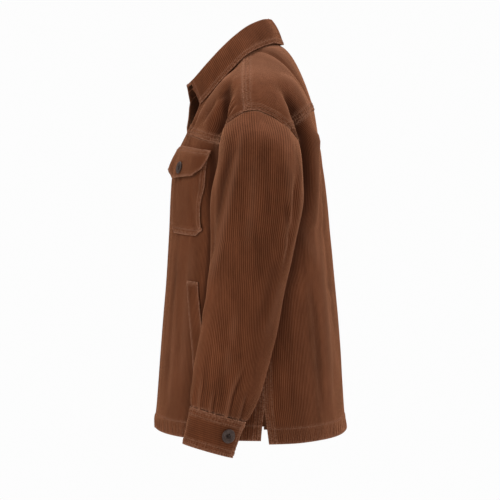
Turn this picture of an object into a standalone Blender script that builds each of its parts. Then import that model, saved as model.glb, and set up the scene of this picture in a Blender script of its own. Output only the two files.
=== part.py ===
"""Corduroy overshirt jacket, filled out as it hangs when worn, with nobody in it.

Units are metres, +Z up.  The wearer faces -Y, the wearer's left is +X.
The origin is the middle of the neck base, level with the point where the
shoulder meets the side of the neck.

Every cut piece is a thin closed wall.  Its outer face is a grid of points on the
garment's form, and its inner face is the same grid moved in by the cloth's
thickness.  The form itself comes from the sizes and the short tables below.
"""
import math

import bpy
import numpy as np

for old in list(bpy.data.objects):
    bpy.data.objects.remove(old, do_unlink=True)

# ------------------------------------------------------------------ sizes
CLOTH = 0.0016          # one layer of eight-wale corduroy
DOUBLE = 0.0028         # two layers sewn as one: collar, cuff, flap, welt, placket
SEAM = 0.0005           # space between two pieces along a seam
FLAP_FLARE = 0.0064      # how far the flap's front corner kicks out
ON_PANEL = 0.0009       # space under a piece that lies on a panel
PLACKET_HALF = 0.0175   # half the width of the front placket
UNDERLAP = 0.0040       # how far the right front dips under the left one
ARM_TOP = -0.103        # height of the top of the armhole seam
ARM_LOW = -0.295        # height of the underarm point
NECK_SIDE = 0.0795      # half the width of the neck at the shoulder seam
SHOULDER_SEAM_Y = -0.0123
VENT_TOP = -0.589       # height where the side vents start
VENT_HALF = 0.0060      # half the spread of a vent at the hem
RIGHT_FORWARD = 0.0195  # how much further forward the right front stands at the neck
BUTTON_CUFF = 0.0230
BUTTON_POCKET = 0.0205
MITRE = 0.0008          # the inner face of a wall stops this much short of its outer edge


def table(columns, rows):
    names = columns.split()
    return {n: np.array([r[i] for r in rows], float) for i, n in enumerate(names)}


def smooth(t):
    t = np.clip(t, 0.0, 1.0)
    return t * t * (3.0 - 2.0 * t)


def cubic(xs, ys, x):
    """Shape-keeping cubic through the rows of a table."""
    x = np.asarray(x, float)
    h = np.diff(xs)
    d = np.diff(ys) / h
    m = np.zeros(len(xs))
    m[0], m[-1] = d[0], d[-1]
    for i in range(1, len(xs) - 1):
        if d[i - 1] * d[i] > 0:
            w1 = 2 * h[i] + h[i - 1]
            w2 = h[i] + 2 * h[i - 1]
            m[i] = (w1 + w2) / (w1 / d[i - 1] + w2 / d[i])
    i = np.clip(np.searchsorted(xs, x, side="right") - 1, 0, len(xs) - 2)
    t = np.clip((x - xs[i]) / h[i], 0.0, 1.0)
    return ((2 * t**3 - 3 * t**2 + 1) * ys[i] + (t**3 - 2 * t**2 + t) * h[i] * m[i]
            + (-2 * t**3 + 3 * t**2) * ys[i + 1] + (t**3 - t**2) * h[i] * m[i + 1])


def at(tab, key, name, x):
    return cubic(tab[key], tab[name], x)


# The body by height: half its width, its front and back centre lines, and how
# round its front is (2 is an ellipse, less is more pointed at centre front).
BODY = table("z half front back round", [
    (-0.660, 0.2375, -0.1590, 0.1645, 2.05),
    (-0.632, 0.2370, -0.1605, 0.1636, 2.05),
    (-0.617, 0.2345, -0.1608, 0.1612, 2.05),
    (-0.604, 0.2330, -0.1585, 0.1600, 2.05),
    (-0.560, 0.2290, -0.1548, 0.1571, 2.02),
    (-0.500, 0.2225, -0.1505, 0.1530, 2.00),
    (-0.440, 0.2160, -0.1458, 0.1482, 2.00),
    (-0.385, 0.2095, -0.1412, 0.1430, 1.98),
    (-0.330, 0.2045, -0.1380, 0.1380, 1.90),
    (-0.295, 0.2040, -0.1362, 0.1345, 1.82),
    (-0.250, 0.2050, -0.1345, 0.1300, 1.72),
    (-0.210, 0.2060, -0.1320, 0.1256, 1.60),
    (-0.190, 0.2070, -0.1296, 0.1228, 1.54),
    (-0.168, 0.2080, -0.1236, 0.1205, 1.48),
    (-0.150, 0.2090, -0.1160, 0.1170, 1.44),
    (-0.135, 0.2100, -0.1092, 0.1150, 1.42),
    (-0.118, 0.2100, -0.1000, 0.1125, 1.42),
    (-0.095, 0.2100, -0.0900, 0.1088, 1.42),
])

# The armhole seam, by the angle down from its top (0) to the underarm (180).
ARMHOLE = table("angle front_x front_y back_x back_y", [
    (0, 0.2350, 0.0100, 0.2350, 0.0100),
    (15, 0.2346, -0.0096, 0.2347, 0.0205),
    (30, 0.2312, -0.0265, 0.2315, 0.0408),
    (45, 0.2242, -0.0425, 0.2245, 0.0590),
    (60, 0.2165, -0.0455, 0.2160, 0.0740),
    (75, 0.2100, -0.0440, 0.2095, 0.0745),
    (90, 0.2055, -0.0400, 0.2060, 0.0690),
    (120, 0.2015, -0.0275, 0.2020, 0.0540),
    (150, 0.2012, -0.0095, 0.2015, 0.0310),
    (180, 0.2040, 0.0100, 0.2040, 0.0100),
])

# The side seam below the underarm.
SIDE = table("z y", [(-0.660, 0.0244), (-0.589, 0.0229), (-0.440, 0.0180), (-0.295, 0.0100)])

# Hem and yoke seam heights, by the angle round from the centre line to the side.
FRONT_LINES = table("angle hem yoke", [
    (0, -0.6315, -0.1325), (10, -0.6330, -0.1346), (24, -0.6366, -0.1395),
    (44, -0.6410, -0.1470), (60, -0.6430, -0.1530), (90, -0.6437, -0.1585)])
BACK_LINES = table("angle hem yoke", [
    (0, -0.6320, -0.0947), (20, -0.6383, -0.0975), (27, -0.6405, -0.1010),
    (52, -0.6455, -0.1190), (72, -0.6485, -0.1290), (90, -0.6493, -0.1350)])

# The shoulder line, from the neck to the armhole.
SHOULDER = table("x z", [
    (0.0795, -0.0020), (0.102, -0.0145), (0.130, -0.0295), (0.160, -0.0445),
    (0.190, -0.0615), (0.210, -0.0770), (0.225, -0.0920), (0.2352, -0.1070)])

# The back of the neck, where the stand is sewn to the yoke.
NECK_BACK = table("x y z", [
    (0.000, 0.0500, 0.0160), (0.035, 0.0430, 0.0150), (0.060, 0.0260, 0.0115),
    (0.073, 0.0070, 0.0045), (0.0795, -0.0123, -0.0020)])

# The front of the neck, from the shoulder seam to the end of the stand.
NECK_FRONT = table("part x y z", [
    (0.0, 0.0795, -0.0123, -0.0020), (0.3, 0.0775, -0.0350, -0.0210),
    (0.6, 0.0710, -0.0555, -0.0435), (0.8, 0.0625, -0.0665, -0.0560),
    (1.0, 0.0350, -0.0830, -0.0790)])

# The placket above the last closed button, where the fronts fall open: its free
# edge and the seam that joins it to the front.
OPENING = table("z free_x free_y right_y seam_x seam_y", [
    (-0.1600, -0.0175, -0.1196, -0.1196, 0.0175, -0.1190),
    (-0.1490, -0.0040, -0.1136, -0.1138, 0.0280, -0.1125),
    (-0.1349, 0.0090, -0.1068, -0.1100, 0.0385, -0.1020),
    (-0.1213, 0.0170, -0.0990, -0.1075, 0.0460, -0.0910),
    (-0.1050, 0.0245, -0.0916, -0.1052, 0.0535, -0.0785),
    (-0.0881, 0.0315, -0.0850, -0.1042, 0.0600, -0.0695),
    (-0.0790, 0.0350, -0.0830, -0.1028, 0.0625, -0.0665),
])
OPEN_LOW, OPEN_TOP = -0.1600, -0.0790
SEAM_LIFT = -0.0560 - OPEN_TOP      # the stand climbs this much from edge to seam

# The sleeve below the armhole, by the height of each section's middle.
SLEEVE = table("z mid_x half_x mid_y half_y tilt", [
    (-0.5950, 0.3120, 0.0345, -0.0512, 0.0452, 16.0),
    (-0.5780, 0.3105, 0.0405, -0.0462, 0.0500, 15.0),
    (-0.5608, 0.3090, 0.0455, -0.0409, 0.0530, 14.0),
    (-0.5301, 0.3060, 0.0505, -0.0335, 0.0568, 12.0),
    (-0.4914, 0.3020, 0.0535, -0.0245, 0.0592, 9.0),
    (-0.4542, 0.2980, 0.0550, -0.0158, 0.0604, 6.0),
    (-0.4203, 0.2940, 0.0565, -0.0093, 0.0603, 4.0),
    (-0.3880, 0.2900, 0.0580, -0.0044, 0.0621, 2.0),
    (-0.3549, 0.2860, 0.0600, 0.0004, 0.0655, 1.0),
    (-0.3154, 0.2815, 0.0625, 0.0050, 0.0693, 0.0),
])
SLEEVE_TOP = -0.3154
# The slanted section halfway between armhole and upper arm.
CAP_MID = (0.2590, 0.0125, -0.2340)
CAP_OUT = (0.0500, 0.0, 0.0700)
CAP_HALF_Y = 0.0746

# The cuff's two ends.
CUFF = table("part mid_x mid_y mid_z half_x half_y", [
    (0.0, 0.3120, -0.0515, -0.5956, 0.0352, 0.0463),
    (1.0, 0.3150, -0.0686, -0.6548, 0.0326, 0.0420)])
CUFF_TILT = 16.0
CUFF_START, CUFF_END = -84.0, 304.0     # degrees round; the end tucks under the start
CUFF_TUCK = 0.0040

# The collar, by its distance round from centre back (0) to its front end (1):
# the seam of the stand, the fold, and the outer edge of the leaf.
COLLAR = table("part seam_x seam_y seam_z fold_x fold_y fold_z edge_x edge_y edge_z", [
    (0.00, 0.0000, 0.0500, 0.0160, 0.0000, 0.0357, 0.0605, 0.0000, 0.0578, 0.0170),
    (0.16, 0.0350, 0.0430, 0.0150, 0.0300, 0.0250, 0.0590, 0.0450, 0.0440, 0.0176),
    (0.32, 0.0600, 0.0260, 0.0115, 0.0520, 0.0010, 0.0490, 0.0745, 0.0201, 0.0096),
    (0.48, 0.0760, 0.0000, 0.0025, 0.0640, -0.0252, 0.0301, 0.0990, -0.0050, -0.0042),
    (0.62, 0.0785, -0.0290, -0.0160, 0.0660, -0.0471, 0.0099, 0.1045, -0.0284, -0.0265),
    (0.76, 0.0720, -0.0530, -0.0410, 0.0600, -0.0724, -0.0168, 0.0965, -0.0519, -0.0510),
    (0.89, 0.0560, -0.0706, -0.0606, 0.0480, -0.0892, -0.0356, 0.0835, -0.0688, -0.0700),
    (1.00, 0.0350, -0.0830, -0.0790, 0.0340, -0.1002, -0.0476, 0.0590, -0.0838, -0.0857),
])

# The largest folds of the body.  Each runs in the x-z plane on the front or the
# back, as a soft trough (depth) or ridge (minus) of the given width.
BODY_FOLDS = table("back x1 z1 x2 z2 depth width", [
    (0, 0.188, -0.050, 0.190, -0.120, 0.0120, 0.016),
    (0, 0.190, -0.120, 0.186, -0.230, 0.0140, 0.018),
    (0, 0.186, -0.230, 0.196, -0.330, 0.0050, 0.020),
    (0, 0.110, -0.052, 0.060, -0.132, -0.0030, 0.011),
    (0, 0.134, -0.062, 0.096, -0.142, -0.0040, 0.010),
    (0, 0.122, -0.060, 0.078, -0.128, 0.0045, 0.009),
    (1, 0.168, -0.048, 0.186, -0.120, 0.0130, 0.015),
    (1, 0.186, -0.120, 0.184, -0.250, 0.0160, 0.018),
    (1, 0.184, -0.250, 0.196, -0.360, 0.0060, 0.020),
    (1, 0.128, -0.060, 0.142, -0.150, -0.0040, 0.014),
    (1, 0.142, -0.150, 0.140, -0.330, -0.0045, 0.016),
])


# ------------------------------------------------------------------ the form
def arm_angle(z):
    return np.degrees(np.arccos(np.clip(1 - 2 * (ARM_TOP - z) / (ARM_TOP - ARM_LOW), -1, 1)))


def arm_height(angle):
    return ARM_TOP + (ARM_LOW - ARM_TOP) * (1 - np.cos(np.radians(angle))) / 2


def armhole(angle, side):
    """A point of the left armhole seam."""
    return np.stack([at(ARMHOLE, "angle", side + "_x", angle),
                     at(ARMHOLE, "angle", side + "_y", angle),
                     arm_height(angle)], -1)


def side_edge(z, side, vent=1.0):
    """Where the front or the back ends: the armhole above, the side seam below.
    The left side's vent hangs open (1) and the right side's hangs closed (0)."""
    a = arm_angle(z)
    sign = -1.0 if side == "front" else 1.0
    spread = SEAM / 2 + vent * VENT_HALF * np.clip((VENT_TOP - z) / 0.055, 0, 1.15)
    low = z <= ARM_LOW
    x = np.where(low, at(BODY, "z", "half", z), at(ARMHOLE, "angle", side + "_x", a))
    y = np.where(low, at(SIDE, "z", "y", z) + sign * spread,
                 at(ARMHOLE, "angle", side + "_y", a) + sign * SEAM / 2 * smooth((a - 130) / 45))
    return x, y


def front_depth(x, z, vent=1.0):
    """How far forward the front stands at a place x across and z up."""
    ex, ey = side_edge(z, "front", vent)
    c = at(BODY, "z", "front", z)
    m = at(BODY, "z", "round", z)
    r = np.clip(np.abs(x) / ex, 0, 1)
    return ey + (c - ey) * (1 - r**m) ** (1 / m)


def front_form(angle, z, vent=1.0):
    """The left front, by the angle round from centre front (0) to the side (90)."""
    ex, ey = side_edge(z, "front", vent)
    x = ex * np.sin(np.radians(angle))
    return np.stack([x, front_depth(x, z, vent), z + 0 * x], -1)


def back_form(angle, z, vent=1.0):
    """The left half of the back, from centre back (0) to the side (90)."""
    ex, ey = side_edge(z, "back", vent)
    c = at(BODY, "z", "back", z)
    x = ex * np.sin(np.radians(angle))
    return np.stack([x, ey + (c - ey) * np.cos(np.radians(angle)), z + 0 * x], -1)


def placket_seam(z):
    """The seam between the left placket and the left front."""
    up = smooth((z - OPEN_LOW) / (OPEN_TOP - OPEN_LOW))
    low = z < OPEN_LOW
    x = np.where(low, PLACKET_HALF, at(OPENING, "z", "seam_x", z))
    w = smooth((z + SEAM_LIFT * up + 0.1320) / 0.022)
    y = front_depth(x, z + SEAM_LIFT * up) * (1 - w) + at(OPENING, "z", "seam_y", z) * w
    return np.stack([x, y, z + SEAM_LIFT * up], -1)


def placket_form(c, z, right):
    """The left placket (or the right one, before mirroring), from its free edge
    (c = 0) to its seam (c = 1)."""
    seam = placket_seam(z)
    low = z < OPEN_LOW
    fx = np.where(low, -PLACKET_HALF, at(OPENING, "z", "free_x", z))
    fy = np.where(low, front_depth(fx, z), at(OPENING, "z", "right_y" if right else "free_y", z))
    x = fx + (seam[..., 0] - fx) * c
    bow = 0.0016 * np.sin(np.pi * c) * smooth((z + 0.145) / 0.030)
    y = np.where(low, front_depth(x, z), fy + (seam[..., 1] - fy) * c - bow)
    return np.stack([x, y, z + (seam[..., 2] - z) * c], -1)


def hermite(p0, t0, p1, t1, v):
    v = np.asarray(v, float)[..., None]
    return ((2 * v**3 - 3 * v**2 + 1) * p0 + (v**3 - 2 * v**2 + v) * t0
            + (-2 * v**3 + 3 * v**2) * p1 + (v**3 - v**2) * t1)


def front_yoke_bounds():
    """The front yoke's lower and upper outlines, as points in order of x."""
    a = np.linspace(8, 90, 60)
    low = front_form(a, at(FRONT_LINES, "angle", "yoke", a))
    arm = armhole(np.linspace(arm_angle(low[-1, 2]) - 0.5, 15.0, 24), "front")
    low = np.concatenate([low, arm])
    z = np.linspace(-0.150, OPEN_TOP, 30)
    seam = placket_seam(z)
    p = np.linspace(0.79, 0.0, 24)
    neck = np.stack([at(NECK_FRONT, "part", k, p) for k in ("x", "y", "z")], -1)
    x = np.linspace(0.0800, 0.2346, 40)
    top = np.stack([x, SHOULDER_SEAM_Y + 0.0027 * smooth((x - 0.20) / 0.035),
                    at(SHOULDER, "x", "z", x)], -1)
    high = np.concatenate([seam, neck[neck[:, 0] > seam[-1, 0]], top])
    keep = np.concatenate([[True], np.diff(high[:, 0]) > 1e-6])
    high = high[keep]
    high = high[np.argsort(high[:, 0])]
    return low, high


FY_LOW, FY_HIGH = front_yoke_bounds()


def front_yoke_form(x, v):
    """The left front yoke on front-to-back lines: v runs up each line."""
    x = np.asarray(x, float)
    lo = np.stack([np.interp(x, FY_LOW[:, 0], FY_LOW[:, i]) for i in (1, 2)], -1)
    hi = np.stack([np.interp(x, FY_HIGH[:, 0], FY_HIGH[:, i]) for i in (1, 2)], -1)
    length = np.linalg.norm(hi - lo, axis=-1)[..., None]
    over = smooth((x - 0.060) / 0.090)[..., None]
    t_lo = np.array([0.34, 0.94])
    t_hi = np.array([0.38, 0.925]) * (1 - over) + np.array([0.93, 0.37]) * over
    yz = hermite(lo, t_lo * length, hi, t_hi * length, v)
    return np.concatenate([(x + 0 * np.asarray(v, float))[..., None], yz], -1)


YOKE_FRONT_ANGLE = 15.0
YOKE_BACK_ANGLE = float(arm_angle(-0.1350))


def yoke_edge(v):
    """The yoke's armhole edge, from the shoulder seam (0) to the back yoke seam (1)."""
    a = -YOKE_FRONT_ANGLE + (YOKE_FRONT_ANGLE + YOKE_BACK_ANGLE) * np.asarray(v, float)
    f, b = armhole(np.abs(a), "front"), armhole(np.abs(a), "back")
    return np.where((a < 0)[..., None], f, b)


def back_yoke_line(p):
    """The back yoke seam by the part p of the way from centre back to the armhole."""
    a = np.linspace(0, 90, 91)
    pts = back_form(a, at(BACK_LINES, "angle", "yoke", a))
    r = pts[:, 0] / pts[-1, 0]
    return np.stack([np.interp(p, r, pts[:, i]) for i in (0, 1, 2)], -1)


def yoke_form(p, v):
    """The left half of the yoke: p from centre back to the armhole, v from the
    front (neck or shoulder seam) to the back yoke seam."""
    p = np.asarray(p, float)
    v = np.asarray(v, float)
    edge = yoke_edge(v)
    x0 = p * yoke_edge(0 * v)[..., 0]
    on_neck = x0 < NECK_SIDE
    xs = np.clip(x0, NECK_SIDE, None)
    y0 = np.where(on_neck, at(NECK_BACK, "x", "y", x0),
                  SHOULDER_SEAM_Y + 0.0027 * smooth((xs - 0.20) / 0.035))
    z0 = np.where(on_neck, at(NECK_BACK, "x", "z", x0), at(SHOULDER, "x", "z", xs))
    p0 = np.stack([y0, z0], -1)
    p1 = back_yoke_line(p)[..., 1:]
    length = np.linalg.norm(p1 - p0, axis=-1)[..., None]
    side = smooth((x0 - 0.03) / 0.07)[..., None]
    t0 = np.array([0.95, -0.31]) * (1 - side) + np.array([0.97, 0.22]) * side
    t1 = np.array([0.28, -0.96])
    gain = 0.70 + 0.46 * side
    yz = hermite(p0, t0 * length * gain, p1, t1 * length * gain, v)
    pts = np.concatenate([(p * edge[..., 0])[..., None], yz], -1)
    # the yoke climbs to meet the neck before it falls over the shoulder
    pts[..., 2] += 0.0060 * np.exp(-((x0 - 0.080) / 0.030) ** 2) * 6.75 * v * (1 - v) ** 2
    # the outermost line follows the armhole exactly
    q1 = yoke_edge(0 * v)[..., 1:]
    e1 = back_yoke_line(0 * p + 1)[..., 1:]
    l1 = np.linalg.norm(e1 - q1, axis=-1)[..., None]
    raw = hermite(q1, np.array([0.97, 0.22]) * l1 * 1.16, e1, t1 * l1 * 1.16, v)
    pts[..., 1:] += (edge[..., 1:] - raw) * (p**3)[..., None]
    return pts


# ------------------------------------------------------------------ folds
def outward(p):
    """The direction that folds move in: away from the garment's core."""
    core = np.stack([np.clip(p[..., 0], -0.11, 0.11), 0 * p[..., 1],
                     np.minimum(p[..., 2], -0.16)], -1)
    d = p - core
    return d / np.linalg.norm(d, axis=-1)[..., None]


def along(px, pz, x1, z1, x2, z2):
    """Distance from a fold's line, and how far along it a point lies."""
    dx, dz = x2 - x1, z2 - z1
    t = ((px - x1) * dx + (pz - z1) * dz) / (dx * dx + dz * dz)
    tc = np.clip(t, 0, 1)
    return np.hypot(px - x1 - tc * dx, pz - z1 - tc * dz), t


def body_folds(p):
    """How far the body's surface stands out (or in, below zero) at a point."""
    out = np.zeros(p.shape[:-1])
    f = BODY_FOLDS
    for i in range(len(f["back"])):
        dist, _ = along(np.abs(p[..., 0]), p[..., 2], f["x1"][i], f["z1"][i], f["x2"][i], f["z2"][i])
        y = p[..., 1]
        half = smooth(0.5 + (y - 0.012) / 0.030)
        here = half if f["back"][i] else 1 - half
        if f["depth"][i] > 0.01:      # the armhole hollows stop short of the shoulder's top
            clear = smooth((y - 0.036) / 0.034) if f["back"][i] else smooth((-0.016 - y) / 0.026)
            here = here * (1 - (1 - clear) * smooth((p[..., 2] + 0.150) / 0.040))
        out -= f["depth"][i] * np.exp(-(dist / f["width"][i]) ** 2) * here
    return out


def right_forward(p):
    """The right front stands further forward round the neck opening."""
    x = np.abs(p[..., 0])
    return (RIGHT_FORWARD * smooth((p[..., 2] + 0.150) / 0.070)
            * (1 - smooth((x - 0.035) / 0.060)) * smooth((-p[..., 1] - 0.030) / 0.045))


def folded(p, right=False):
    q = p + outward(p) * body_folds(p)[..., None]
    if right:
        q[..., 1] -= right_forward(p)
    return q


def normals(g, wrap=False):
    """Unit normals of a grid of points, rows by columns."""
    if wrap:
        du = np.roll(g, -1, 1) - np.roll(g, 1, 1)
    else:
        du = np.gradient(g, axis=1)
    dv = np.gradient(g, axis=0)
    n = np.cross(du, dv)
    return n / np.maximum(np.linalg.norm(n, axis=-1), 1e-12)[..., None]


# ------------------------------------------------------------------ building
COLOURS = {
    "corduroy": ((0.115, 0.042, 0.022), 0.95),
    "button": ((0.055, 0.042, 0.037), 0.45),
}


def material(name, kind):
    m = bpy.data.materials.new(name + "_material")
    m.use_nodes = True
    b = m.node_tree.nodes["Principled BSDF"]
    colour, rough = COLOURS[kind]
    b.inputs["Base Color"].default_value = (*colour, 1)
    b.inputs["Roughness"].default_value = rough
    b.inputs["Metallic"].default_value = 0.0
    return m


def volume(verts, faces):
    v = 0.0
    for f in faces:
        a = verts[f[0]]
        for i in range(1, len(f) - 1):
            v += np.dot(a, np.cross(verts[f[i]], verts[f[i + 1]]))
    return v / 6.0


def add(name, verts, faces, kind="corduroy"):
    verts = [np.asarray(v, float) for v in verts]
    if volume(verts, faces) < 0:
        faces = [tuple(reversed(f)) for f in faces]
    me = bpy.data.meshes.new(name)
    me.from_pydata([tuple(float(c) for c in v) for v in verts], [], faces)
    me.validate()
    me.materials.append(material(name, kind))
    me.shade_smooth()
    ob = bpy.data.objects.new(name, me)
    bpy.context.scene.collection.objects.link(ob)
    return ob


def wall(name, outer, thickness, wrap=False, inward=1.0):
    """A closed wall: an outer grid, the same grid moved in, and its edges.
    Each square is cut along the same diagonal on both faces."""
    outer = np.asarray(outer, float)
    rows, cols = outer.shape[:2]
    n = normals(outer, wrap) * inward
    t = thickness[..., None] if isinstance(thickness, np.ndarray) else thickness
    inner = outer - n * t
    edges = [(0, 1, 0), (-1, -2, 0)] + ([] if wrap else [(0, 1, 1), (-1, -2, 1)])
    for i, j, axis in edges:
        e, f = (inner[i], inner[j]) if axis == 0 else (inner[:, i], inner[:, j])
        d = f - e
        e += d / np.maximum(np.linalg.norm(d, axis=-1), 1e-9)[..., None] * MITRE
    verts = list(outer.reshape(-1, 3)) + list(inner.reshape(-1, 3))
    off = rows * cols
    faces = []

    def vid(r, c, k):
        return r * cols + (c % cols) + k * off

    span = cols if wrap else cols - 1
    for r in range(rows - 1):
        for c in range(span):
            a, b, d, e = (r, c), (r, c + 1), (r + 1, c + 1), (r + 1, c)
            for k in (0, 1):
                for tri in ((a, b, d), (a, d, e)):
                    f = tuple(vid(*q, k) for q in tri)
                    faces.append(f if k == 0 else tuple(reversed(f)))
    for c in range(span):
        for r, flip in ((0, False), (rows - 1, True)):
            f = (vid(r, c, 0), vid(r, c, 1), vid(r, c + 1, 1), vid(r, c + 1, 0))
            faces.append(tuple(reversed(f)) if flip else f)
    if not wrap:
        for r in range(rows - 1):
            for c, flip in ((0, True), (cols - 1, False)):
                f = (vid(r, c, 0), vid(r, c, 1), vid(r + 1, c, 1), vid(r + 1, c, 0))
                faces.append(tuple(reversed(f)) if flip else f)
    return add(name, verts, faces)


def mirror_x(g):
    m = g.copy()
    m[..., 0] *= -1
    return m[:, ::-1]


# heights of the rows round the armhole, shared by body and sleeve
ARM_STEPS = [80.0, 97.0, 114.0, 133.0, 156.0, 180.0]
LOW_ROWS = [-0.3155, -0.385, -0.475, -0.570, -0.613]


def row_parts(top, low, steps):
    """Rows from hem to top as parts of the way up, exact at the side edge."""
    zs = [low] + LOW_ROWS[::-1] + [float(arm_height(a)) for a in steps[::-1]] + [top]
    return [(z - low) / (top - low) for z in zs]


def front_start(z):
    zs = np.linspace(OPEN_LOW, OPEN_TOP, 40)
    s = placket_seam(zs)
    x = np.where(z < OPEN_LOW, PLACKET_HALF, np.interp(z, s[:, 2], s[:, 0]))
    ex, _ = side_edge(z, "front")
    return np.degrees(np.arcsin(np.clip((x + SEAM / 2) / ex, 0, 1)))


def front_grid(parts, cols, trim=0.0, vent=1.0):
    v = np.array(parts)[:, None]
    q = np.array(cols)[None, :]
    start = 5.0
    for _ in range(3):
        a = start + (90 - start) * q
        z = at(FRONT_LINES, "angle", "hem", a) * (1 - v) + (at(FRONT_LINES, "angle", "yoke", a) - trim) * v
        start = front_start(z)
    return front_form(a + 0 * v, z, vent)


def underlap(g):
    """The right front dips under the left one beside centre front."""
    x = np.abs(g[..., 0])
    dip = UNDERLAP * (1 - smooth((x - 0.0205) / 0.022)) * (1 - smooth((g[..., 2] + 0.138) / 0.014))
    q = g.copy()
    q[..., 1] += dip
    return q


# ------------------------------------------------------------------ fronts and back
COLS = [0, .04, .12, .20, .28, .36, .44, .52, .60, .68, .76, .84, .92, 1.0]
PARTS_F = row_parts(-0.1585, -0.6437, ARM_STEPS)
gf = front_grid(PARTS_F, COLS, SEAM / 2)
wall("front_left", folded(gf), CLOTH)
gr = front_grid(PARTS_F, COLS, SEAM / 2, 0.0)
wall("front_right", mirror_x(underlap(folded(gr, True))), CLOTH)

PARTS_B = row_parts(-0.1350, -0.6493, [64.0] + ARM_STEPS)
v = np.array(PARTS_B)[:, None]
ang = np.array([0, 9, 18, 27, 35, 42, 49, 56, 63, 70, 77, 84, 90.0])[None, :]
z = at(BACK_LINES, "angle", "hem", ang) * (1 - v) + (at(BACK_LINES, "angle", "yoke", ang) - SEAM / 2) * v
gb = folded(back_form(ang + 0 * v, z))
gc = folded(back_form(ang + 0 * v, z, 0.0))
wall("back", np.concatenate([mirror_x(gc)[:, :-1], gb], 1), CLOTH, inward=-1.0)

# ------------------------------------------------------------------ yokes
xs = [0.0388] + [float(at(OPENING, "z", "seam_x", z)) for z in (-0.1213, -0.105, -0.0910, OPEN_TOP)]
xs += [float(x) for x in gf[-1, 2:-2, 0]]
xs += [float(armhole(a, "front")[0]) for a in (48.0, 32.0)] + [0.2338]
xs = np.array(xs)[None, :]
for name, right in (("front_yoke_left", False), ("front_yoke_right", True)):
    v = np.linspace(0, 1, 6)[:, None]
    g = front_yoke_form(xs + 0 * v, v + 0 * xs)
    length = np.linalg.norm(g[-1] - g[0], axis=-1)[None, :]
    pad = np.minimum(SEAM / 2 / np.maximum(length, 1e-6), 0.2)
    g = front_yoke_form(xs + 0 * v, pad + v * (1 - 2 * pad))
    g[:, :, 0] += 0.0007 * (1 - smooth((g[:, :, 0] - 0.060) / 0.020))
    g = folded(g, right)
    wall(name, mirror_x(g) if right else g, CLOTH)

steps = [0.0] + [(YOKE_FRONT_ANGLE + a) / (YOKE_FRONT_ANGLE + YOKE_BACK_ANGLE) for a in (0, 15, 32)] + [1.0]
steps = sorted(steps + [0.58, 0.86])
v = np.array(steps)[:, None]
p = np.array([0, 0.12, 0.22, 0.30] + [x / 0.2346 for x in xs[0, 6:-1]] + [1.0])[None, :]
gy = yoke_form(p + 0 * v, 0.003 + v * 0.994)
gy = folded(gy)
wall("yoke", np.concatenate([mirror_x(gy)[:, :-1], gy], 1), CLOTH)

# ------------------------------------------------------------------ plackets
zs = np.array([float(z) for z in gf[:-1, 0, 2]] + [-0.1372, -0.1213, -0.105, -0.0910, OPEN_TOP])[:, None]
c = np.array([0.0, 0.33, 0.67, 1.0])[None, :]
lift = 0.0008
g = placket_form(c * (1 - 0.5 * SEAM / 0.035) + 0 * zs, zs + 0 * c, False)
g = folded(g)
g[..., 1] -= lift
wall("placket_left", g, DOUBLE)
g = placket_form(c * (1 - 0.5 * SEAM / 0.035) + 0 * zs, zs + 0 * c, True)
g = folded(g)
g[..., 1] += UNDERLAP * (1 - smooth((g[..., 2] + 0.138) / 0.014))
wall("placket_right", mirror_x(g), DOUBLE)

# ------------------------------------------------------------------ pockets, flaps, welts
def front_at(angle, part):
    """A point of the folded left front by angle and part of the way up."""
    z = at(FRONT_LINES, "angle", "hem", angle) * (1 - part) + at(FRONT_LINES, "angle", "yoke", angle) * part
    return folded(front_form(angle, z))


def on_front(angle, part, lift):
    """The same point moved out from the front's face."""
    e = 0.25
    p0 = front_at(angle, part)
    du = front_at(angle + e, part) - front_at(angle - e, part)
    dv = front_at(angle, part + 0.004) - front_at(angle, part - 0.004)
    n = np.cross(du, dv)
    n /= np.linalg.norm(n, axis=-1)[..., None]
    n = np.where(n[..., 1:2] > 0, -n, n)
    return p0 + n * (lift[..., None] if isinstance(lift, np.ndarray) else lift)


POCKET = dict(left=16.0, right=57.0, low_right=49.5, low=0.668, high=0.942)
FLAP = dict(left=15.0, right=60.5)


def patch(name, left, right, low, high, lift, thick, rows, cols):
    """A piece on the front between two outlines given as functions of the part
    of the way across."""
    v = np.linspace(0, 1, rows)[:, None]
    u = np.array(cols)[None, :]
    a = left + (right(v) - left) * u
    lo, hi = low(u), high(u)
    part = lo + (hi - lo) * v
    g = on_front(a, part, lift(u + 0 * v, v + 0 * u) + 0 * a)
    wall(name.replace("SIDE", "left"), g, thick)
    gm = underlap_free(g)
    wall(name.replace("SIDE", "right"), mirror_x(gm), thick)


def underlap_free(g):
    q = g.copy()
    q[..., 1] -= right_forward(g)
    return q


def cut(u, left, right, depth):
    """A straight cut across each lower corner."""
    return depth * (np.clip(1 - u / left, 0, 1) + np.clip(1 - (1 - u) / right, 0, 1))


def flap_low(u):
    return 0.8450 + 0.0405 * u + cut(u, 0.19, 0.17, 0.032 - 0.012 * smooth((u - 0.3) / 0.4))


def flap_top(u):
    return 0.9585 + 0.0135 * u


def flap_lift(u, v):
    """The flap lies on the pocket, and its front lower corner kicks out."""
    return (DOUBLE + ON_PANEL + 0.0013 * u**3 + (CLOTH + ON_PANEL + 0.0006) * smooth((1 - v) / 0.22)
            + FLAP_FLARE * (1 - v) ** 1.2 * (0.30 + 0.90 * (1 - u) ** 1.5))


def pocket_right(v):
    return POCKET["right"] - (POCKET["right"] - POCKET["low_right"]) * (1 - v) ** 1.6


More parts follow.
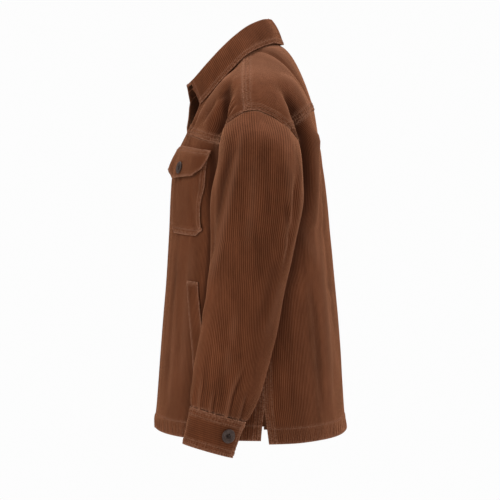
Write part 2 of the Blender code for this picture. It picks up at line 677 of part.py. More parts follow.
patch("chest_pocket_SIDE", POCKET["left"], pocket_right,
      lambda u: POCKET["low"] + 0.006 * u + cut(u, 0.11, 0.15, 0.020),
      lambda u: POCKET["high"] + 0 * u,
      lambda u, v: CLOTH + ON_PANEL + 0.0012 * np.sin(np.pi * u) * v + 0.0007 * u * (1 - v),
      CLOTH, 6, [0, .055, .11, .29, .47, .66, .85, .925, 1.0])
patch("chest_flap_SIDE", FLAP["left"], lambda v: FLAP["right"] - 6.0 * (1 - v) ** 1.3,
      flap_low, flap_top, flap_lift, DOUBLE, 5, [0, .095, .19, .33, .49, .65, .83, .915, 1.0])

WELT = table("part left right", [(0.0, 49.8, 57.6), (0.5, 45.8, 54.0), (1.0, 41.6, 50.0)])
WELT_LOW, WELT_HIGH = 0.222, 0.522
v = np.linspace(0, 1, 7)[:, None]
u = np.array([0, 0.5, 1.0])[None, :]
a = at(WELT, "part", "left", v) * (1 - u) + at(WELT, "part", "right", v) * u
g = on_front(a, WELT_LOW + (WELT_HIGH - WELT_LOW) * v - 0.004 * (1 - u) * 0 + 0 * u, DOUBLE + ON_PANEL + 0 * a)
wall("welt_left", g, DOUBLE)
wall("welt_right", mirror_x(g), DOUBLE)

# ------------------------------------------------------------------ collar
def collar_line(kind, s, right):
    p = np.stack([at(COLLAR, "part", kind + "_" + k, s) for k in ("x", "y", "z")], -1)
    if right:
        near = p - np.array([0.016 if kind == "edge" else 0.0, 0.0, 0.0])
        p[..., 1] -= right_forward(near) * (0.42 if kind == "fold" else 1.0)
        if kind == "fold":
            p[..., 2] -= 0.0026 * smooth((s - 0.7) / 0.3)
    return p


def to_neck(right):
    """The level direction square to the fold, towards the middle of the neck."""
    d = collar_line("fold", np.minimum(S + 0.02, 1.0), right) - collar_line("fold", np.maximum(S - 0.02, 0.0), right)
    d[:, 0, 1] = 0
    d = np.stack([d[..., 1], -d[..., 0], 0 * d[..., 0]], -1)
    return d / np.linalg.norm(d, axis=-1)[..., None]


def both_sides(make):
    """A grid over both halves of the collar, from the right end to the left."""
    left = make(False)
    right = make(True)
    right[..., 0] *= -1
    return np.concatenate([right[:, ::-1][:, :-1], left], 1)


S = np.array([0, .08, .16, .24, .32, .40, .48, .55, .62, .69, .76, .83, .89, .95, 1.0])[None, :]
FALL = [-0.10, 0.0, 0.12, 0.34, 0.60, 0.82, 1.0]


def leaf(right):
    fold = collar_line("fold", S, right)
    edge = collar_line("edge", S, right)
    up = np.array([0.0, 0.0, 1.0])
    rows = []
    inward = to_neck(right)
    for f in FALL[::-1]:
        if f < 0:
            p = fold + inward * 0.0050 - up * 0.0022
        else:
            round_out = (0.0022 + 0.0016 * (1 - smooth(S / 0.35))) * math.sin(math.pi * f ** 0.7)
            round_out = (round_out * (1 - smooth((S - 0.8) / 0.2)))[..., None]
            p = fold + (edge - fold) * f - inward * round_out
        rows.append(p[0])
    return np.array(rows)


def stand(right):
    fold = collar_line("fold", S, right)
    seam = collar_line("seam", S, right)
    up = np.array([0.0, 0.0, 1.0])
    inward = to_neck(right)
    top = fold + inward * 0.0028 - up * (0.0074 + 0.0046 * smooth((S - 0.75) / 0.2))[..., None]
    base = seam + up * 0.0010
    rows = []
    for f in (0.0, 0.5, 1.0):
        p = base + (top - base) * f
        rows.append(p[0])
    return np.array(rows)


wall("collar", both_sides(leaf), DOUBLE, inward=-1.0)
wall("collar_stand", both_sides(stand), DOUBLE * 0.8, inward=-1.0)

# ------------------------------------------------------------------ sleeves
def cuff_ring(part, angle, grow=0.0):
    """A point of the left cuff's outline; angle 0 is outermost, 90 is the front."""
    t = math.radians(CUFF_TILT)
    a = np.radians(angle)
    hx = at(CUFF, "part", "half_x", part) + grow
    hy = at(CUFF, "part", "half_y", part) + grow
    y = -hy * np.sin(a)
    return np.stack([at(CUFF, "part", "mid_x", part) + hx * np.cos(a),
                     at(CUFF, "part", "mid_y", part) + y * math.cos(t),
                     at(CUFF, "part", "mid_z", part) - y * math.sin(t)], -1)


def sleeve_ring(z, angle):
    """A section of the sleeve below the upper arm."""
    a = np.radians(angle)
    g = {k: at(SLEEVE, "z", k, z) for k in ("mid_x", "half_x", "mid_y", "half_y", "tilt")}
    y = -g["half_y"] * np.sin(a)
    return np.stack([g["mid_x"] + g["half_x"] * np.cos(a), g["mid_y"] + y,
                     z - y * np.tan(np.radians(g["tilt"]))], -1)


def arm_loop(angle):
    """The armhole seam all round: 0 is the top, 90 the front, 180 the underarm."""
    a = np.asarray(angle, float) % 360
    f = armhole(np.minimum(a, 360 - a), "front")
    b = armhole(np.minimum(a, 360 - a), "back")
    return folded(np.where((a <= 180)[..., None], f, b))


def sleeve_cap(t, angle):
    """From the armhole (t = 0) by the slanted section (0.5) to the upper arm (1)."""
    a = np.radians(np.asarray(angle, float))
    p0 = arm_loop(angle)
    ca, sa = np.cos(a), np.sin(a)
    mid = np.stack([CAP_MID[0] + CAP_OUT[0] * ca, CAP_MID[1] - CAP_HALF_Y * sa + 0 * ca,
                    CAP_MID[2] + CAP_OUT[2] * ca], -1)
    end = sleeve_ring(SLEEVE_TOP + 0 * a, angle)
    below = sleeve_ring(SLEEVE_TOP - 0.02 + 0 * a, angle)
    t0 = np.stack([0.80 + 0 * a, -0.42 * sa, -0.18 - 0.50 * ca**2], -1)
    t0 /= np.linalg.norm(t0, axis=-1)[..., None]
    first = np.linalg.norm(mid - p0, axis=-1)[..., None]
    second = np.linalg.norm(end - mid, axis=-1)[..., None]
    tm = (end - p0) / np.linalg.norm(end - p0, axis=-1)[..., None]
    t1 = (below - end) / np.linalg.norm(below - end, axis=-1)[..., None]
    t = np.asarray(t, float)
    one = hermite(p0, t0 * first, mid, tm * first, np.clip(2 * t, 0, 1))
    two = hermite(mid, tm * second, end, t1 * second, np.clip(2 * t - 1, 0, 1))
    return np.where((t < 0.5)[..., None], one, two)


# The sleeve's largest folds, by angle round and height, as soft ridges.
SLEEVE_FOLDS = table("angle1 z1 angle2 z2 out width", [
    (28, -0.135, 52, -0.300, 0.0040, 13),
    (52, -0.300, 84, -0.430, 0.0035, 14),
    (70, -0.180, 76, -0.330, -0.0030, 12),
    (318, -0.135, 310, -0.330, 0.0040, 9),
    (304, -0.240, 304, -0.330, -0.0045, 7),
    (296, -0.150, 288, -0.300, 0.0020, 10),
])
PLEATS = table("angle out width", [(62, 0.0030, 6), (34, 0.0035, 6), (8, 0.0032, 6), (-20, 0.0030, 6),
                                   (140, 0.0025, 8), (190, 0.0025, 8)])


def sleeve_out(angle, z):
    """How far the sleeve's folds stand out."""
    out = 0.0 * z
    f = SLEEVE_FOLDS
    for i in range(len(f["out"])):
        t = np.clip((z - f["z1"][i]) / (f["z2"][i] - f["z1"][i]), 0, 1)
        mid = f["angle1"][i] + (f["angle2"][i] - f["angle1"][i]) * t
        d = (angle - mid + 180) % 360 - 180
        over = np.maximum(z - f["z1"][i], f["z2"][i] - z)
        fade = 1 - smooth(over / 0.035)
        out = out + f["out"][i] * np.exp(-(d / f["width"][i]) ** 2) * fade
    f = PLEATS
    for i in range(len(f["out"])):
        d = (angle - f["angle"][i] + 180) % 360 - 180
        out = out + f["out"][i] * np.exp(-(d / f["width"][i]) ** 2) * smooth((-0.535 - z) / 0.045)
    return out


def sleeve_grid(angles, caps, lows):
    a = np.array(angles)[None, :]
    rows = [sleeve_cap(np.full(a.shape, t), a)[0] for t in caps]
    rows += [sleeve_ring(np.full(a.shape, z), a)[0] for z in lows]
    g = np.array(rows)
    n = normals(g, wrap=True)
    centre = g.mean(axis=1, keepdims=True)
    n = np.where(((g - centre) * n).sum(-1, keepdims=True) < 0, -n, n)
    out = sleeve_out(a + 0 * g[..., 0], g[..., 2])
    out[0] = 0
    return g + n * out[..., None]


fr = [0.0, 15.0, 32.0, 48.0, float(arm_angle(-0.1585))] + ARM_STEPS
bk = ARM_STEPS[-2::-1] + [64.0, YOKE_BACK_ANGLE, 32.0, 15.0]
ANGLES = fr + [360 - a for a in bk]
CAPS = [0.0, 0.12, 0.25, 0.38, 0.5, 0.75, 1.0]
LOWS = [-0.3600, -0.4150, -0.4750, -0.5350, -0.5680, -0.5945]
gs = sleeve_grid(ANGLES, CAPS, LOWS)
# the first ring stands one seam's width off the armhole
d = gs[1] - gs[0]
gs[0] += d / np.linalg.norm(d, axis=-1)[..., None] * (SEAM + 0.0002)
wall("sleeve_left", gs, CLOTH, wrap=True)
wall("sleeve_right", mirror_x(gs), CLOTH, wrap=True)

# ------------------------------------------------------------------ cuffs
ca = np.linspace(CUFF_START, CUFF_END, 27)[None, :]
v = np.array([0.0, 0.5, 1.0])[:, None]
tuck = -CUFF_TUCK * smooth((ca - (CUFF_END - 52)) / 26)
g = cuff_ring(v + 0 * ca, ca + 0 * v, tuck + 0 * v)
wall("cuff_left", g, DOUBLE)
wall("cuff_right", mirror_x(g), DOUBLE)

# ------------------------------------------------------------------ buttons
def button(name, centre, normal, width, segments=20):
    """A turned button with a raised rim and a dished middle."""
    r = width / 2
    profile = [(0.0, 0.0), (0.80 * r, 0.0), (r, 0.0009), (r, 0.0022), (0.90 * r, 0.0030),
               (0.74 * r, 0.0029), (0.62 * r, 0.0021), (0.0, 0.0020)]
    n = np.array(normal, float)
    n /= np.linalg.norm(n)
    t = np.cross(n, [0, 0, 1.0])
    t /= np.linalg.norm(t)
    b = np.cross(n, t)
    c = np.array(centre, float)
    verts = [c + n * profile[0][1]]
    for rad, h in profile[1:-1]:
        for i in range(segments):
            w = 2 * math.pi * i / segments
            verts.append(c + n * h + t * rad * math.cos(w) + b * rad * math.sin(w))
    verts.append(c + n * profile[-1][1])
    faces = []
    rings = len(profile) - 2
    last = len(verts) - 1
    for i in range(segments):
        j = (i + 1) % segments
        faces.append((0, 1 + j, 1 + i))
        for k in range(rings - 1):
            a0, b0 = 1 + k * segments, 1 + (k + 1) * segments
            faces.append((a0 + i, a0 + j, b0 + j, b0 + i))
        e = 1 + (rings - 1) * segments
        faces.append((e + i, e + j, last))
    return add(name, verts, faces, "button")


def surface_spot(make, u, v):
    """A point and outward direction on a piece given by a function."""
    p = make(u, v)
    du = make(u + 0.02, v) - make(u - 0.02, v)
    dv = make(u, v + 0.02) - make(u, v - 0.02)
    n = np.cross(du, dv)
    return p, n / np.linalg.norm(n)


def flap_face(u, v):
    u, v = np.array([float(u)]), np.array([float(v)])
    a = FLAP["left"] + (FLAP["right"] - 6.0 * (1 - v) ** 1.3 - FLAP["left"]) * u
    lo = flap_low(u)
    return on_front(a, lo + (flap_top(u) - lo) * v, flap_lift(u, v))[0]


p, n = surface_spot(flap_face, 0.44, 0.30)
n = -n if n[1] > 0 else n
button("pocket_button_left", p + n * 0.0006, n, BUTTON_POCKET)
q = p.copy()
q[0] *= -1
m = n.copy()
m[0] *= -1
q[1] -= float(right_forward(p))
button("pocket_button_right", q + m * 0.0006, m, BUTTON_POCKET)

CUFF_BUTTON_ANGLE, CUFF_BUTTON_PART = -34.0, 0.46


def cuff_face(u, v):
    return cuff_ring(np.array([float(v)]), np.array([float(u) * 50]))[0]


p, n = surface_spot(cuff_face, CUFF_BUTTON_ANGLE / 50, CUFF_BUTTON_PART)
n = -n if n[0] < 0 else n
button("cuff_button_left", p + n * 0.0008, n, BUTTON_CUFF)
q, m = p.copy(), n.copy()
q[0] *= -1
m[0] *= -1
button("cuff_button_right", q + m * 0.0008, m, BUTTON_CUFF)
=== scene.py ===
"""Corduroy overshirt jacket: the cloth, stitching and buttons as they look.

Units are metres, +Z up, the wearer faces -Y and the wearer's left is +X.  The
first half repeats the garment's form, so that every piece lies where its solid
does.  The second half cuts it in corduroy, with its wales, creases and stitches.
"""
import math

import bmesh
import bpy
import numpy as np
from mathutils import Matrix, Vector
from mathutils.geometry import delaunay_2d_cdt


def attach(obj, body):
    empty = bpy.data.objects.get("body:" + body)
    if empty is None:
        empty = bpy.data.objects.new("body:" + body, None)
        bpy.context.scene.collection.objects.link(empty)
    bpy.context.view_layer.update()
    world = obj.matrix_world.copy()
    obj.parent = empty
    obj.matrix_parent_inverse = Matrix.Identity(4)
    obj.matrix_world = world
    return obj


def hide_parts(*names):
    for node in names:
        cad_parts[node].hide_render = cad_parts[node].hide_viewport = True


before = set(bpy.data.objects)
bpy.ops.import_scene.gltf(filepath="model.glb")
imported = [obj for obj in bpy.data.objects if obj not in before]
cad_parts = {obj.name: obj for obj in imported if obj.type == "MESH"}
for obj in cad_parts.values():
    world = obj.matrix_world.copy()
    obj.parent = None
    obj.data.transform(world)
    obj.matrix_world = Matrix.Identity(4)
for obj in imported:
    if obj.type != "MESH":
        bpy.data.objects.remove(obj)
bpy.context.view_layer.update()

# ------------------------------------------------------------------ sizes
CLOTH = 0.0016          # one layer of eight-wale corduroy
DOUBLE = 0.0028         # two layers sewn as one: collar, cuff, flap, welt, placket
SEAM = 0.0005           # space between two pieces along a seam
FLAP_FLARE = 0.0064      # how far the flap's front corner kicks out
ON_PANEL = 0.0009       # space under a piece that lies on a panel
PLACKET_HALF = 0.0175   # half the width of the front placket
UNDERLAP = 0.0040       # how far the right front dips under the left one
ARM_TOP = -0.103        # height of the top of the armhole seam
ARM_LOW = -0.295        # height of the underarm point
NECK_SIDE = 0.0795      # half the width of the neck at the shoulder seam
SHOULDER_SEAM_Y = -0.0123
VENT_TOP = -0.589       # height where the side vents start
VENT_HALF = 0.0060      # half the spread of a vent at the hem
RIGHT_FORWARD = 0.0195  # how much further forward the right front stands at the neck
BUTTON_CUFF = 0.0230
BUTTON_POCKET = 0.0205
MITRE = 0.0008          # the inner face of a wall stops this much short of its outer edge


def table(columns, rows):
    names = columns.split()
    return {n: np.array([r[i] for r in rows], float) for i, n in enumerate(names)}


def smooth(t):
    t = np.clip(t, 0.0, 1.0)
    return t * t * (3.0 - 2.0 * t)


def cubic(xs, ys, x):
    """Shape-keeping cubic through the rows of a table."""
    x = np.asarray(x, float)
    h = np.diff(xs)
    d = np.diff(ys) / h
    m = np.zeros(len(xs))
    m[0], m[-1] = d[0], d[-1]
    for i in range(1, len(xs) - 1):
        if d[i - 1] * d[i] > 0:
            w1 = 2 * h[i] + h[i - 1]
            w2 = h[i] + 2 * h[i - 1]
            m[i] = (w1 + w2) / (w1 / d[i - 1] + w2 / d[i])
    i = np.clip(np.searchsorted(xs, x, side="right") - 1, 0, len(xs) - 2)
    t = np.clip((x - xs[i]) / h[i], 0.0, 1.0)
    return ((2 * t**3 - 3 * t**2 + 1) * ys[i] + (t**3 - 2 * t**2 + t) * h[i] * m[i]
            + (-2 * t**3 + 3 * t**2) * ys[i + 1] + (t**3 - t**2) * h[i] * m[i + 1])


def at(tab, key, name, x):
    return cubic(tab[key], tab[name], x)


# The body by height: half its width, its front and back centre lines, and how
# round its front is (2 is an ellipse, less is more pointed at centre front).
BODY = table("z half front back round", [
    (-0.660, 0.2375, -0.1590, 0.1645, 2.05),
    (-0.632, 0.2370, -0.1605, 0.1636, 2.05),
    (-0.617, 0.2345, -0.1608, 0.1612, 2.05),
    (-0.604, 0.2330, -0.1585, 0.1600, 2.05),
    (-0.560, 0.2290, -0.1548, 0.1571, 2.02),
    (-0.500, 0.2225, -0.1505, 0.1530, 2.00),
    (-0.440, 0.2160, -0.1458, 0.1482, 2.00),
    (-0.385, 0.2095, -0.1412, 0.1430, 1.98),
    (-0.330, 0.2045, -0.1380, 0.1380, 1.90),
    (-0.295, 0.2040, -0.1362, 0.1345, 1.82),
    (-0.250, 0.2050, -0.1345, 0.1300, 1.72),
    (-0.210, 0.2060, -0.1320, 0.1256, 1.60),
    (-0.190, 0.2070, -0.1296, 0.1228, 1.54),
    (-0.168, 0.2080, -0.1236, 0.1205, 1.48),
    (-0.150, 0.2090, -0.1160, 0.1170, 1.44),
    (-0.135, 0.2100, -0.1092, 0.1150, 1.42),
    (-0.118, 0.2100, -0.1000, 0.1125, 1.42),
    (-0.095, 0.2100, -0.0900, 0.1088, 1.42),
])

# The armhole seam, by the angle down from its top (0) to the underarm (180).
ARMHOLE = table("angle front_x front_y back_x back_y", [
    (0, 0.2350, 0.0100, 0.2350, 0.0100),
    (15, 0.2346, -0.0096, 0.2347, 0.0205),
    (30, 0.2312, -0.0265, 0.2315, 0.0408),
    (45, 0.2242, -0.0425, 0.2245, 0.0590),
    (60, 0.2165, -0.0455, 0.2160, 0.0740),
    (75, 0.2100, -0.0440, 0.2095, 0.0745),
    (90, 0.2055, -0.0400, 0.2060, 0.0690),
    (120, 0.2015, -0.0275, 0.2020, 0.0540),
    (150, 0.2012, -0.0095, 0.2015, 0.0310),
    (180, 0.2040, 0.0100, 0.2040, 0.0100),
])

# The side seam below the underarm.
SIDE = table("z y", [(-0.660, 0.0244), (-0.589, 0.0229), (-0.440, 0.0180), (-0.295, 0.0100)])

# Hem and yoke seam heights, by the angle round from the centre line to the side.
FRONT_LINES = table("angle hem yoke", [
    (0, -0.6315, -0.1325), (10, -0.6330, -0.1346), (24, -0.6366, -0.1395),
    (44, -0.6410, -0.1470), (60, -0.6430, -0.1530), (90, -0.6437, -0.1585)])
BACK_LINES = table("angle hem yoke", [
    (0, -0.6320, -0.0947), (20, -0.6383, -0.0975), (27, -0.6405, -0.1010),
    (52, -0.6455, -0.1190), (72, -0.6485, -0.1290), (90, -0.6493, -0.1350)])

# The shoulder line, from the neck to the armhole.
SHOULDER = table("x z", [
    (0.0795, -0.0020), (0.102, -0.0145), (0.130, -0.0295), (0.160, -0.0445),
    (0.190, -0.0615), (0.210, -0.0770), (0.225, -0.0920), (0.2352, -0.1070)])

# The back of the neck, where the stand is sewn to the yoke.
NECK_BACK = table("x y z", [
    (0.000, 0.0500, 0.0160), (0.035, 0.0430, 0.0150), (0.060, 0.0260, 0.0115),
    (0.073, 0.0070, 0.0045), (0.0795, -0.0123, -0.0020)])

# The front of the neck, from the shoulder seam to the end of the stand.
NECK_FRONT = table("part x y z", [
    (0.0, 0.0795, -0.0123, -0.0020), (0.3, 0.0775, -0.0350, -0.0210),
    (0.6, 0.0710, -0.0555, -0.0435), (0.8, 0.0625, -0.0665, -0.0560),
    (1.0, 0.0350, -0.0830, -0.0790)])

# The placket above the last closed button, where the fronts fall open: its free
# edge and the seam that joins it to the front.
OPENING = table("z free_x free_y right_y seam_x seam_y", [
    (-0.1600, -0.0175, -0.1196, -0.1196, 0.0175, -0.1190),
    (-0.1490, -0.0040, -0.1136, -0.1138, 0.0280, -0.1125),
    (-0.1349, 0.0090, -0.1068, -0.1100, 0.0385, -0.1020),
    (-0.1213, 0.0170, -0.0990, -0.1075, 0.0460, -0.0910),
    (-0.1050, 0.0245, -0.0916, -0.1052, 0.0535, -0.0785),
    (-0.0881, 0.0315, -0.0850, -0.1042, 0.0600, -0.0695),
    (-0.0790, 0.0350, -0.0830, -0.1028, 0.0625, -0.0665),
])
OPEN_LOW, OPEN_TOP = -0.1600, -0.0790
SEAM_LIFT = -0.0560 - OPEN_TOP      # the stand climbs this much from edge to seam

# The sleeve below the armhole, by the height of each section's middle.
SLEEVE = table("z mid_x half_x mid_y half_y tilt", [
    (-0.5950, 0.3120, 0.0345, -0.0512, 0.0452, 16.0),
    (-0.5780, 0.3105, 0.0405, -0.0462, 0.0500, 15.0),
    (-0.5608, 0.3090, 0.0455, -0.0409, 0.0530, 14.0),
    (-0.5301, 0.3060, 0.0505, -0.0335, 0.0568, 12.0),
    (-0.4914, 0.3020, 0.0535, -0.0245, 0.0592, 9.0),
    (-0.4542, 0.2980, 0.0550, -0.0158, 0.0604, 6.0),
    (-0.4203, 0.2940, 0.0565, -0.0093, 0.0603, 4.0),
    (-0.3880, 0.2900, 0.0580, -0.0044, 0.0621, 2.0),
    (-0.3549, 0.2860, 0.0600, 0.0004, 0.0655, 1.0),
    (-0.3154, 0.2815, 0.0625, 0.0050, 0.0693, 0.0),
])
SLEEVE_TOP = -0.3154
# The slanted section halfway between armhole and upper arm.
CAP_MID = (0.2590, 0.0125, -0.2340)
CAP_OUT = (0.0500, 0.0, 0.0700)
CAP_HALF_Y = 0.0746

# The cuff's two ends.
CUFF = table("part mid_x mid_y mid_z half_x half_y", [
    (0.0, 0.3120, -0.0515, -0.5956, 0.0352, 0.0463),
    (1.0, 0.3150, -0.0686, -0.6548, 0.0326, 0.0420)])
CUFF_TILT = 16.0
CUFF_START, CUFF_END = -84.0, 304.0     # degrees round; the end tucks under the start
CUFF_TUCK = 0.0040

# The collar, by its distance round from centre back (0) to its front end (1):
# the seam of the stand, the fold, and the outer edge of the leaf.
COLLAR = table("part seam_x seam_y seam_z fold_x fold_y fold_z edge_x edge_y edge_z", [
    (0.00, 0.0000, 0.0500, 0.0160, 0.0000, 0.0357, 0.0605, 0.0000, 0.0578, 0.0170),
    (0.16, 0.0350, 0.0430, 0.0150, 0.0300, 0.0250, 0.0590, 0.0450, 0.0440, 0.0176),
    (0.32, 0.0600, 0.0260, 0.0115, 0.0520, 0.0010, 0.0490, 0.0745, 0.0201, 0.0096),
    (0.48, 0.0760, 0.0000, 0.0025, 0.0640, -0.0252, 0.0301, 0.0990, -0.0050, -0.0042),
    (0.62, 0.0785, -0.0290, -0.0160, 0.0660, -0.0471, 0.0099, 0.1045, -0.0284, -0.0265),
    (0.76, 0.0720, -0.0530, -0.0410, 0.0600, -0.0724, -0.0168, 0.0965, -0.0519, -0.0510),
    (0.89, 0.0560, -0.0706, -0.0606, 0.0480, -0.0892, -0.0356, 0.0835, -0.0688, -0.0700),
    (1.00, 0.0350, -0.0830, -0.0790, 0.0340, -0.1002, -0.0476, 0.0590, -0.0838, -0.0857),
])

# The largest folds of the body.  Each runs in the x-z plane on the front or the
# back, as a soft trough (depth) or ridge (minus) of the given width.
BODY_FOLDS = table("back x1 z1 x2 z2 depth width", [
    (0, 0.188, -0.050, 0.190, -0.120, 0.0120, 0.016),
    (0, 0.190, -0.120, 0.186, -0.230, 0.0140, 0.018),
    (0, 0.186, -0.230, 0.196, -0.330, 0.0050, 0.020),
    (0, 0.110, -0.052, 0.060, -0.132, -0.0030, 0.011),
    (0, 0.134, -0.062, 0.096, -0.142, -0.0040, 0.010),
    (0, 0.122, -0.060, 0.078, -0.128, 0.0045, 0.009),
    (1, 0.168, -0.048, 0.186, -0.120, 0.0130, 0.015),
    (1, 0.186, -0.120, 0.184, -0.250, 0.0160, 0.018),
    (1, 0.184, -0.250, 0.196, -0.360, 0.0060, 0.020),
    (1, 0.128, -0.060, 0.142, -0.150, -0.0040, 0.014),
    (1, 0.142, -0.150, 0.140, -0.330, -0.0045, 0.016),
])


# ------------------------------------------------------------------ the form
def arm_angle(z):
    return np.degrees(np.arccos(np.clip(1 - 2 * (ARM_TOP - z) / (ARM_TOP - ARM_LOW), -1, 1)))


def arm_height(angle):
    return ARM_TOP + (ARM_LOW - ARM_TOP) * (1 - np.cos(np.radians(angle))) / 2


def armhole(angle, side):
    """A point of the left armhole seam."""
    return np.stack([at(ARMHOLE, "angle", side + "_x", angle),
                     at(ARMHOLE, "angle", side + "_y", angle),
                     arm_height(angle)], -1)


def side_edge(z, side, vent=1.0):
    """Where the front or the back ends: the armhole above, the side seam below.
    The left side's vent hangs open (1) and the right side's hangs closed (0)."""
    a = arm_angle(z)
    sign = -1.0 if side == "front" else 1.0
    spread = SEAM / 2 + vent * VENT_HALF * np.clip((VENT_TOP - z) / 0.055, 0, 1.15)
    low = z <= ARM_LOW
    x = np.where(low, at(BODY, "z", "half", z), at(ARMHOLE, "angle", side + "_x", a))
    y = np.where(low, at(SIDE, "z", "y", z) + sign * spread,
                 at(ARMHOLE, "angle", side + "_y", a) + sign * SEAM / 2 * smooth((a - 130) / 45))
    return x, y


def front_depth(x, z, vent=1.0):
    """How far forward the front stands at a place x across and z up."""
    ex, ey = side_edge(z, "front", vent)
    c = at(BODY, "z", "front", z)
    m = at(BODY, "z", "round", z)
    r = np.clip(np.abs(x) / ex, 0, 1)
    return ey + (c - ey) * (1 - r**m) ** (1 / m)


def front_form(angle, z, vent=1.0):
    """The left front, by the angle round from centre front (0) to the side (90)."""
    ex, ey = side_edge(z, "front", vent)
    x = ex * np.sin(np.radians(angle))
    return np.stack([x, front_depth(x, z, vent), z + 0 * x], -1)


def back_form(angle, z, vent=1.0):
    """The left half of the back, from centre back (0) to the side (90)."""
    ex, ey = side_edge(z, "back", vent)
    c = at(BODY, "z", "back", z)
    x = ex * np.sin(np.radians(angle))
    return np.stack([x, ey + (c - ey) * np.cos(np.radians(angle)), z + 0 * x], -1)


def placket_seam(z):
    """The seam between the left placket and the left front."""
    up = smooth((z - OPEN_LOW) / (OPEN_TOP - OPEN_LOW))
    low = z < OPEN_LOW
    x = np.where(low, PLACKET_HALF, at(OPENING, "z", "seam_x", z))
    w = smooth((z + SEAM_LIFT * up + 0.1320) / 0.022)
    y = front_depth(x, z + SEAM_LIFT * up) * (1 - w) + at(OPENING, "z", "seam_y", z) * w
    return np.stack([x, y, z + SEAM_LIFT * up], -1)


def placket_form(c, z, right):
    """The left placket (or the right one, before mirroring), from its free edge
    (c = 0) to its seam (c = 1)."""
    seam = placket_seam(z)
    low = z < OPEN_LOW
    fx = np.where(low, -PLACKET_HALF, at(OPENING, "z", "free_x", z))
    fy = np.where(low, front_depth(fx, z), at(OPENING, "z", "right_y" if right else "free_y", z))
    x = fx + (seam[..., 0] - fx) * c
    bow = 0.0016 * np.sin(np.pi * c) * smooth((z + 0.145) / 0.030)
    y = np.where(low, front_depth(x, z), fy + (seam[..., 1] - fy) * c - bow)
    return np.stack([x, y, z + (seam[..., 2] - z) * c], -1)


def hermite(p0, t0, p1, t1, v):
    v = np.asarray(v, float)[..., None]
    return ((2 * v**3 - 3 * v**2 + 1) * p0 + (v**3 - 2 * v**2 + v) * t0
            + (-2 * v**3 + 3 * v**2) * p1 + (v**3 - v**2) * t1)


def front_yoke_bounds():
    """The front yoke's lower and upper outlines, as points in order of x."""
    a = np.linspace(8, 90, 60)
    low = front_form(a, at(FRONT_LINES, "angle", "yoke", a))
    arm = armhole(np.linspace(arm_angle(low[-1, 2]) - 0.5, 15.0, 24), "front")
    low = np.concatenate([low, arm])
    z = np.linspace(-0.150, OPEN_TOP, 30)
    seam = placket_seam(z)
    p = np.linspace(0.79, 0.0, 24)
    neck = np.stack([at(NECK_FRONT, "part", k, p) for k in ("x", "y", "z")], -1)
    x = np.linspace(0.0800, 0.2346, 40)
    top = np.stack([x, SHOULDER_SEAM_Y + 0.0027 * smooth((x - 0.20) / 0.035),
                    at(SHOULDER, "x", "z", x)], -1)
    high = np.concatenate([seam, neck[neck[:, 0] > seam[-1, 0]], top])
    keep = np.concatenate([[True], np.diff(high[:, 0]) > 1e-6])
    high = high[keep]
    high = high[np.argsort(high[:, 0])]
    return low, high


FY_LOW, FY_HIGH = front_yoke_bounds()


def front_yoke_form(x, v):
    """The left front yoke on front-to-back lines: v runs up each line."""
    x = np.asarray(x, float)
    lo = np.stack([np.interp(x, FY_LOW[:, 0], FY_LOW[:, i]) for i in (1, 2)], -1)
    hi = np.stack([np.interp(x, FY_HIGH[:, 0], FY_HIGH[:, i]) for i in (1, 2)], -1)
    length = np.linalg.norm(hi - lo, axis=-1)[..., None]
    over = smooth((x - 0.060) / 0.090)[..., None]
    t_lo = np.array([0.34, 0.94])
    t_hi = np.array([0.38, 0.925]) * (1 - over) + np.array([0.93, 0.37]) * over
    yz = hermite(lo, t_lo * length, hi, t_hi * length, v)
    return np.concatenate([(x + 0 * np.asarray(v, float))[..., None], yz], -1)


YOKE_FRONT_ANGLE = 15.0
YOKE_BACK_ANGLE = float(arm_angle(-0.1350))


def yoke_edge(v):
    """The yoke's armhole edge, from the shoulder seam (0) to the back yoke seam (1)."""
    a = -YOKE_FRONT_ANGLE + (YOKE_FRONT_ANGLE + YOKE_BACK_ANGLE) * np.asarray(v, float)
    f, b = armhole(np.abs(a), "front"), armhole(np.abs(a), "back")
    return np.where((a < 0)[..., None], f, b)


def back_yoke_line(p):
    """The back yoke seam by the part p of the way from centre back to the armhole."""
    a = np.linspace(0, 90, 91)
    pts = back_form(a, at(BACK_LINES, "angle", "yoke", a))
    r = pts[:, 0] / pts[-1, 0]
    return np.stack([np.interp(p, r, pts[:, i]) for i in (0, 1, 2)], -1)


